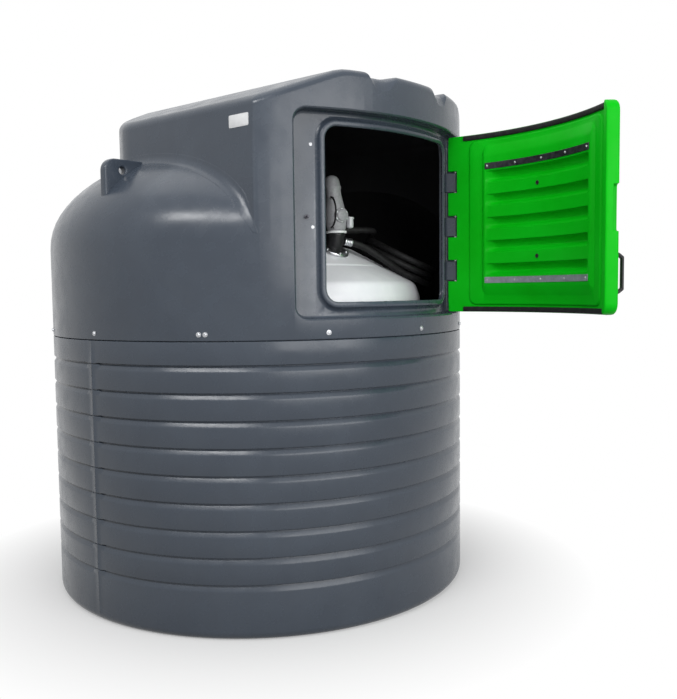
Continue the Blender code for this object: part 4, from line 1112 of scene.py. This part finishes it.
SKIRT_BOLT_Z = 1.351
SKIRT_BOLT_DEGREES = (
    -118.0, -88.5, -59.1, -57.6, -29.5, -1.9, 26.6, 56.0, 85.5, 115.0, 144.5, 174.0, -147.5,
)
big_bolt = make_fastener("big_bolt", 0.0115)
skirt_seats = [wall_seat(a, BODY + GAP, SKIRT_BOLT_Z) for a in SKIRT_BOLT_DEGREES]
skirt_bolts = row_of("skirt_bolts", big_bolt, skirt_seats)
dress(skirt_bolts, "tank", zinc_steel)
small_bolt = make_fastener("small_bolt", 0.0070)
recess_screws = row_of(
    "recess_screws", small_bolt,
    [wall_seat(-32.28, FLOOR_RADIUS + GAP, 2.1685), wall_seat(-31.99, FLOOR_RADIUS + GAP, 1.8113)],
)
dress(recess_screws, "tank", zinc_steel)
strip_screw = make_fastener("strip_screw", 0.0062)
for name, level, metal in STRIPS:
    first = strip_span[0] + degrees_along(0.017)
    last = strip_span[1] - degrees_along(0.015)
    spots = [first + (last - first) * k / 4.0 for k in range(5)]
    seats = [wall_seat(spot, strip_face - STRIP_THICK - GAP, level, -1.0) for spot in spots]
    screws = row_of(name + "_screws", strip_screw, seats)
    hang(screws, zinc_steel, [])
for pattern in (big_bolt, small_bolt, strip_screw):
    bpy.data.objects.remove(pattern, do_unlink=True)
print("skirt bolts:", len(SKIRT_BOLT_DEGREES))

# %% [markdown]
# The keeper that the door's latch closes on is a turned stud: a round foot on the recess
# floor, a shank and a low head. The two plugs on the panel close the holes where the door was
# held while it was moulded. Both are spun, and stood on their seats like the screws.

# %% Turn the keeper and the plugs
def turned(name, section, steps, seat, angle=36.0):
    """A spun piece, stood on its seat and smoothed."""
    piece = spun(name, section, steps)
    piece.data.transform(seat)
    return smooth(piece, angle)


KEEPER_PLACE = (-33.485, FLOOR_RADIUS + GAP, 1.85625)
PLUG_DEGREES = -7.5733
keeper = turned("keeper_stud", [
    (0.0, 0.0), (0.0100, 0.0), (0.0100, 0.0016), (0.0092, 0.0024), (0.0044, 0.0030), (0.0040, 0.0060),
    (0.0040, 0.0225), (0.0058, 0.0233), (0.0062, 0.0245), (0.0062, 0.0285), (0.0052, 0.0300), (0.0, 0.0306),
], 28, standing(*wall_seat(*KEEPER_PLACE)), 40.0)
dress(keeper, "tank", dark_steel, ["latch_keeper"])
for name, level in (("door_plug_lower", 1.68325), ("door_plug_upper", 2.02075)):
    plug = turned(name + "_cap", [
        (0.0, 0.0), (0.0100, 0.0), (0.0104, 0.0010), (0.0098, 0.0022), (0.0080, 0.0030), (0.0066, 0.0024),
        (0.0060, 0.0016), (0.0040, 0.0012), (0.0, 0.0012),
    ], 24, standing(*wall_seat(PLUG_DEGREES, PANEL_FACE - GAP, level, -1.0)), 40.0)
    hang(plug, black_plastic, [name])

# %% [markdown]
# The pull handle is a flat black bar bent into a shallow bridge, with splayed feet on the
# door's outer face. Half of its outline is drawn and mirrored. The whole is one face,
# extruded to the bar's width, and its sharp edges are rounded with a bevel modifier.

# %% Shape the pull handle
HANDLE_DEGREES = -34.6
HANDLE_FOOT_Z = 1.5034
HANDLE_WIDTH = 0.022
HANDLE_LENGTH = 0.1742


def upper_half(points):
    return [(out, HANDLE_LENGTH - up) for out, up in reversed(points)]


outer_half = [(0.0, 0.0), (0.0050, 0.0), (0.0160, 0.0060), (0.0310, 0.0180), (0.0325, 0.0215)]
inner_half = [(0.0220, 0.0292), (0.0205, 0.0262), (0.0040, 0.0142), (0.0, 0.0130)]
outline = outer_half + upper_half(outer_half) + upper_half(inner_half) + inner_half
bpy.ops.mesh.primitive_circle_add(vertices=len(outline), fill_type="NGON")
handle = start_piece("bridge_handle")
for vert, (out, up) in zip(handle.data.vertices, outline):
    vert.co = (out, -HANDLE_WIDTH / 2.0, up)
edit_all()
bpy.ops.mesh.extrude_region_move(TRANSFORM_OT_translate={"value": (0.0, HANDLE_WIDTH, 0.0)})
leave_edit()
soften_edges(handle, 0.0032, 3)
outward = on_wall(HANDLE_DEGREES, 1.0, 0.0)
seat = Matrix.Translation(outward * (DOOR_FACE + GAP) + Vector((0.0, 0.0, HANDLE_FOOT_Z)))
facing = Matrix.Rotation(math.radians(HANDLE_DEGREES - 90.0), 4, "Z")
handle.data.transform(seat @ facing)
smooth(handle, 40.0)
hang(handle, black_plastic, ["pull_handle"])
print("handle faces:", len(handle.data.polygons))

# %% [markdown]
# A small white plate is fixed near the front of the left flank. It is a thin sheet with
# rounded corners and a pressed border.

# %% Fix the plate to the flank
PLATE_MIDDLE = (-0.6765, 2.263)
PLATE_SIZE = (0.120, 0.054)
bpy.ops.mesh.primitive_plane_add(size=1.0)
plate = start_piece("bare_plate")
for vert in plate.data.vertices:
    y = PLATE_MIDDLE[0] + PLATE_SIZE[0] * vert.co.x
    z = PLATE_MIDDLE[1] + PLATE_SIZE[1] * vert.co.y
    vert.co = (-HALF_WIDTH - GAP, y, z)
edit_all()
bpy.ops.mesh.bevel(offset=0.006, segments=4, affect="VERTICES")
bpy.ops.mesh.select_all(action="SELECT")
bpy.ops.mesh.extrude_region_move(TRANSFORM_OT_translate={"value": (-0.0009, 0.0, 0.0)})
bpy.ops.mesh.inset(thickness=0.0030, depth=0.0)
bpy.ops.mesh.inset(thickness=0.0008, depth=-0.0004)
leave_edit()
smooth(plate, 30.0)
dress(plate, "tank", white_plate, ["label_plate"])

# %% [markdown]
# ## The inner tank
#
# Through the door one sees the white tank that holds the fuel: a tall drum drawn in at the
# shoulder, with a sloping crown and a screwed lid. It is spun like the bund, with soft
# rounds where the mould has them.

# %% Spin the inner tank
def rounded_section(points, radii, count=5):
    """Section with its corners rounded; a radius of nothing keeps a corner sharp."""
    made = []
    size = len(points)
    for k, (here, radius) in enumerate(zip(points, radii)):
        before = Vector(points[k - 1])
        after = Vector(points[(k + 1) % size])
        corner = Vector(here)
        if radius <= 0.0:
            made.append(tuple(corner))
            continue
        start = corner + (before - corner).normalized() * radius
        end = corner + (after - corner).normalized() * radius
        for i in range(count + 1):
            t = i / count
            point = start * (1 - t) ** 2 + corner * 2 * t * (1 - t) + end * t * t
            made.append(tuple(point))
    return made


tank_points = [
    (0.0, 0.0123), (0.960, 0.0123), (1.020, 0.0723), (1.020, 1.250), (0.885, 1.310), (0.885, 1.500),
    (0.858, 1.569), (0.700, 1.6542), (0.690, 1.6542), (0.680, 1.6650), (0.500, 1.762), (0.200, 1.772),
    (0.200, 1.7635), (0.500, 1.7535), (0.850, 1.5630), (0.877, 1.500), (0.877, 1.3060), (1.012, 1.246),
    (1.012, 0.0723), (0.955, 0.0203), (0.0, 0.0203),
]
tank_rounds = [0, 0.02, 0.02, 0.030, 0.024, 0.024, 0.022, 0.003, 0.003, 0.004, 0.024] + [0] * 10
tank = spun("fuel_tank", rounded_section(tank_points, tank_rounds), 96)
smooth(tank, 34.0)
dress(tank, "tank", natural_plastic, ["inner_tank"])

# %% [markdown]
# ## The pump set
#
# A hand-sized pump stands on the crown behind the door's left edge. From below there are a
# zinc flange with bolts, a swept black elbow with a collar at each end, a white ring and a
# grey casting that leans a little and ends in a rounded head. The casting is a skin over
# round sections of changing size, as a foundry pattern would be built up. A cover, a thin
# bent pipe and a small clear bowl are fixed to it.

# %% Shape the casting
def oval(centre, wide, deep, sides=36):
    turns = [2.0 * math.pi * k / sides for k in range(sides)]
    return [(centre[0] + wide * math.cos(t), centre[1] + deep * math.sin(t), centre[2]) for t in turns]


PUMP_HEIGHT = 0.2790
base_x, base_y = pump_base.x, pump_base.y
profile = [
    (GAP, 0.040), (0.0030, 0.046), (0.0120, 0.050), (0.0300, 0.0545), (0.0600, 0.0575),
    (0.0900, 0.0560), (0.1250, 0.0500), (0.1600, 0.0440), (0.1900, 0.0405), (0.2080, 0.0395),
    (0.2140, 0.0425), (0.2240, 0.0430), (0.2300, 0.0400), (0.2500, 0.0385), (0.2640, 0.0340),
    (0.2730, 0.0260), (0.2780, 0.0140), (PUMP_HEIGHT, 0.0030),
]
rings = []
for rise, wide in profile:
    lean = (rise / PUMP_HEIGHT) ** 1.5
    centre = (base_x - 0.014 * lean, base_y + 0.016 * lean, pump_base.z + rise)
    rings.append(oval(centre, wide, wide * 0.92))
casting = skin("pump_casting", rings)
cover = spun("pump_cover", [
    (0.0, 0.0), (0.0380, 0.0), (0.0380, 0.0120), (0.0360, 0.0140), (0.0300, 0.0150), (0.0280, 0.0200),
    (0.0200, 0.0240), (0.0080, 0.0250), (0.0, 0.0250),
], 32)
cover_way = Vector((-0.30, -0.95, 0.0)).normalized()
cover_seat = Vector((base_x, base_y, pump_base.z + 0.075)) + cover_way * 0.042
cover.data.transform(standing(cover_seat, cover_way))
combine(casting, [cover], "UNION")
smooth(casting, 36.0)
dress(casting, "tank", cast_paint, ["pump_body"])

# %% Bolt the cover and the flange
def bolt_circle(centre, way, across, up, radius, start):
    """Six seats on a circle round the centre, all facing the same way."""
    turns = [math.radians(start + 60.0 * k) for k in range(6)]
    return [(centre + (across * math.cos(t) + up * math.sin(t)) * radius, way) for t in turns]


upright = Vector((0.0, 0.0, 1.0))
across = cover_way.cross(upright)
bolt = make_fastener("cover_bolt", 0.0050)
cover_seats = bolt_circle(cover_seat + cover_way * 0.0146, cover_way, across, upright, 0.0325, 30.0)
cover_bolts = row_of("pump_cover_bolts", bolt, cover_seats)
dress(cover_bolts, "tank", zinc_steel)
big = make_fastener("flange_bolt", 0.0095)
sideways = pump_normal.cross(Vector((0.0, 1.0, 0.0))).normalized()
upways = pump_normal.cross(sideways).normalized()
flange_top = pump_foot + pump_normal * (GAP + 0.0142)
flange_seats = bolt_circle(flange_top, pump_normal, sideways, upways, 0.068, 15.0)
ring_of_bolts = row_of("flange_bolts", big, flange_seats)
dress(ring_of_bolts, "tank", zinc_steel)
for pattern in (bolt, big):
    bpy.data.objects.remove(pattern, do_unlink=True)
flange = turned("flange_plate", [
    (0.0, 0.0), (0.0830, 0.0), (0.0850, 0.0020), (0.0850, 0.0110), (0.0830, 0.0138), (0.0540, 0.0140),
    (0.0, 0.0140),
], 56, standing(pump_foot + pump_normal * GAP, pump_normal))
dress(flange, "tank", zinc_steel, ["suction_flange"])

# %% Bend the pipe, hang the bowl and fit the ring
PIPE_RISE = 0.076
PIPE_BULGE = 0.052
PIPE_RADIUS = 0.0045
arc_centre = Vector((base_x - 0.059, base_y + 0.029, pump_base.z + 0.088)) + cover_way * 0.058
turns = [math.radians(-82.0 + 164.0 * k / 24.0) for k in range(25)]
arc_points = [
    arc_centre + cover_way * (PIPE_BULGE * math.cos(t)) + upright * (PIPE_RISE * math.sin(t)) for t in turns
]
roots = [end.lerp(Vector((base_x, base_y, end.z)), 0.55) for end in (arc_points[0], arc_points[-1])]
pick(tube("bleed_pipe", [roots[0], *arc_points, roots[1]], PIPE_RADIUS, 4))
bpy.ops.object.convert(target="MESH")
pipe = start_piece("bleed_pipe")
smooth(pipe, 50.0)
dress(pipe, "tank", black_plastic)
bowl_way = Vector((0.639, -0.769, 0.0))
bowl_seat = Vector((base_x, base_y, pump_base.z + 0.046)) + bowl_way * 0.070
bowl = spun("sight_bowl", [
    (0.0, -0.034), (0.0100, -0.0335), (0.0165, -0.0290), (0.0180, -0.0200), (0.0180, 0.0130),
    (0.0215, 0.0135), (0.0215, 0.0210), (0.0195, 0.0230), (0.0, 0.0235),
], 28)
bowl.data.transform(Matrix.Translation(bowl_seat))
neck = cylinder_upright("bowl_neck", Vector((0.0, 0.0, 0.0)), 0.011, 0.0, 0.036, 20)
neck.data.transform(standing(bowl_seat + upright * 0.016, -bowl_way))
combine(bowl, [neck], "UNION")
smooth(bowl, 36.0)
dress(bowl, "tank", clear_bowl)
ring = turned("white_ring", [
    (0.040, 0.0), (0.0510, 0.0), (0.0530, 0.0020), (0.0530, 0.0100), (0.0510, 0.0120), (0.040, 0.0120),
], 40, Matrix.Translation((base_x, base_y, pump_base.z - 0.0122)))
dress(ring, "tank", white_plate)

# %% [markdown]
# The elbow sweeps from the flange up to the casting. It is a curve along its centre, given a
# round section and then made a mesh, with two turned collars joined on. The hose's ferrules are
# turned sleeves with three crimped waists.

# %% Sweep the elbow and turn the ferrules
elbow_points = [elbow_start]
for k in range(1, 12):
    share = k / 12.0
    first_leg = elbow_start.lerp(elbow_middle, share)
    second_leg = elbow_middle.lerp(pump_base, share)
    elbow_points.append(first_leg.lerp(second_leg, share))
elbow_points.append(pump_base - Vector((0.0, 0.0, 0.0006)))
pick(tube("swept_elbow", elbow_points, 0.0425, 8))
bpy.ops.object.convert(target="MESH")
elbow = start_piece("swept_elbow")
collar_section = [
    (0.0, 0.0), (0.0440, 0.0), (0.0455, 0.0020), (0.0455, 0.0120), (0.0440, 0.0140), (0.0, 0.0140),
]
low_seat = standing(elbow_start + pump_normal * 0.0004, pump_normal)
high_seat = Matrix.Translation(pump_base - upright * 0.0270)
collars = [turned(f"collar_{k}", collar_section, 40, seat) for k, seat in enumerate((low_seat, high_seat))]
pick(elbow)
for collar in collars:
    collar.select_set(True)
bpy.ops.object.join()
smooth(elbow, 36.0)
dress(elbow, "tank", black_plastic, ["suction_elbow"])
sleeve = [(0.0, 0.0), (0.0205, 0.0), (0.0210, 0.0015), (0.0210, 0.0080)]
for k in range(3):
    at = 0.0100 + 0.0100 * k
    sleeve += [(0.0196, at), (0.0188, at + 0.0025), (0.0196, at + 0.0050), (0.0210, at + 0.0070)]
sleeve += [(0.0210, 0.0430), (0.0196, 0.0450), (0.0, 0.0450)]
for name, root, way in (
    ("hose_ferrule_outlet", outlet_root, outlet_way), ("hose_ferrule_return", return_root, return_way),
):
    ferrule = turned(name + "_crimped", sleeve, 32, standing(root, way), 30.0)
    dress(ferrule, "tank", zinc_steel, [name])

# %% [markdown]
# ## What stays as the model has it
#
# The solids not yet replaced take finishes of their own kind.

# %% Give the remaining solids their finishes
FINISHES = {
    "tank_grey": grey_plastic, "door_green": green_plastic, "natural_tank": natural_plastic,
    "black_plastic": black_plastic, "black_rubber": black_rubber, "steel": zinc_steel,
    "pump_casting": cast_paint, "label_white": white_plate,
}
for part in frame["record"]["subparts"]:
    node = frame["nodes"][part["node"]]
    node.data.materials.clear()
    node.data.materials.append(FINISHES[part["material_slot"]])

# %% [markdown]
# ## Floor, light and world
#
# The tank stands on a pale floor. A large panel in front gives most of the light, a narrow
# strip high on the left draws the highlights, a panel overhead fills the roof, and a narrow
# spot reaches into the cabinet. The floor turns to plain white away from the tank, so that
# only the contact shadow shows, and the world is white wherever it is seen directly or in
# a reflection.

# %% Lay the floor
def worked_out(nodes, links, operation, first, second):
    """The sum or product of two values, kept between nought and one."""
    node = add_node(nodes, "Math")
    node.operation = operation
    node.use_clamp = True
    links.new(first, node.inputs[0])
    links.new(second, node.inputs[1])
    return node.outputs["Value"]


def any_ray(nodes, links, light_path):
    """One where the camera, a reflection or glass looks straight at the background."""
    total = light_path.outputs["Is Camera Ray"]
    for kind in ("Is Glossy Ray", "Is Transmission Ray"):
        total = worked_out(nodes, links, "ADD", total, light_path.outputs[kind])
    return total


def mixed(nodes, links, share, first, second):
    """Two shaders mixed by a share of the second."""
    mix = add_node(nodes, "MixShader")
    for source, socket in zip((share, first, second), mix.inputs):
        links.new(source, socket)
    return mix.outputs["Shader"]


bpy.ops.object.select_all(action="DESELECT")
bpy.ops.mesh.primitive_circle_add(vertices=64, radius=40.0, fill_type="NGON", location=(0.0, 0.0, 0.0))
floor = start_piece("studio_floor")
floor_finish, nodes, links, shader = finish("pale floor")
shader.inputs["Roughness"].default_value = 0.9
shader.inputs["Base Color"].default_value = (0.80, 0.80, 0.80, 1.0)
ball = add_node(nodes, "TexGradient")
ball.gradient_type = "SPHERICAL"
fit = add_node(nodes, "Mapping", Scale=(0.26, 0.26, 0.26))
links.new(place_of(nodes), fit.inputs["Vector"])
links.new(fit.outputs["Vector"], ball.inputs["Vector"])
away = spread(nodes, links, ball.outputs["Fac"], 1.0, 0.0, 0.53, 0.80)
light_path = add_node(nodes, "LightPath")
share = worked_out(nodes, links, "MULTIPLY", away, any_ray(nodes, links, light_path))
white = add_node(nodes, "Emission", Color=(1.0, 1.0, 1.0, 1.0))
seen = mixed(nodes, links, share, shader.outputs["BSDF"], white.outputs["Emission"])
bounce = add_node(nodes, "BsdfDiffuse", Color=(0.22, 0.22, 0.22, 1.0))
is_bounce = light_path.outputs["Is Diffuse Ray"]
surface = mixed(nodes, links, is_bounce, seen, bounce.outputs["BSDF"])
links.new(surface, nodes["Material Output"].inputs["Surface"])
floor.data.materials.append(floor_finish)


# %% Hang the lights
def soft_light(name, place, target, size, watts):
    bpy.ops.object.light_add(type="AREA", location=place)
    lamp = bpy.context.object
    lamp.name = name
    lamp.data.shape = "RECTANGLE"
    lamp.data.size = size[0]
    lamp.data.size_y = size[1]
    lamp.data.energy = watts
    aim = Vector(target) - Vector(place)
    lamp.rotation_euler = aim.to_track_quat("-Z", "Y").to_euler()
    return lamp


soft_light("front panel", (-1.9, -6.8, 2.9), (0.0, 0.0, 1.3), (6.0, 4.0), 262.0)
soft_light("left strip", (-5.2, -1.4, 5.6), (0.0, 0.0, 1.6), (4.4, 1.0), 190.0)
soft_light("top panel", (0.0, 0.5, 6.5), (0.0, 0.0, 0.0), (5.0, 5.0), 70.0)

bpy.ops.object.light_add(type="SPOT", location=(-1.2, -5.0, 2.7))
spot = bpy.context.object
spot.name = "cabinet spot"
spot.data.energy = 270.0
spot.data.spot_size = math.radians(13.0)
spot.data.spot_blend = 1.0
spot.data.shadow_soft_size = 0.20
spot_aim = Vector((-0.13, -0.90, 1.66)) - spot.location
spot.rotation_euler = spot_aim.to_track_quat("-Z", "Y").to_euler()

world = bpy.data.worlds.new("soft surround")
scene.world = world
world.use_nodes = True
nodes = world.node_tree.nodes
links = world.node_tree.links
sky = nodes["Background"]
sky.inputs["Color"].default_value = (1.0, 1.0, 1.0, 1.0)
sky.inputs["Strength"].default_value = 0.30
bright = add_node(nodes, "Background", Color=(1.0, 1.0, 1.0, 1.0), Strength=1.0)
straight = any_ray(nodes, links, add_node(nodes, "LightPath"))
around = mixed(nodes, links, straight, sky.outputs["Background"], bright.outputs["Background"])
links.new(around, nodes["World Output"].inputs["Surface"])

# %% [markdown]
# ## The last update
#
# The dressed tank must stay as large as the model. At the end the view layer is brought up to date.

# %% Bring the view layer up to date
bpy.context.view_layer.update()
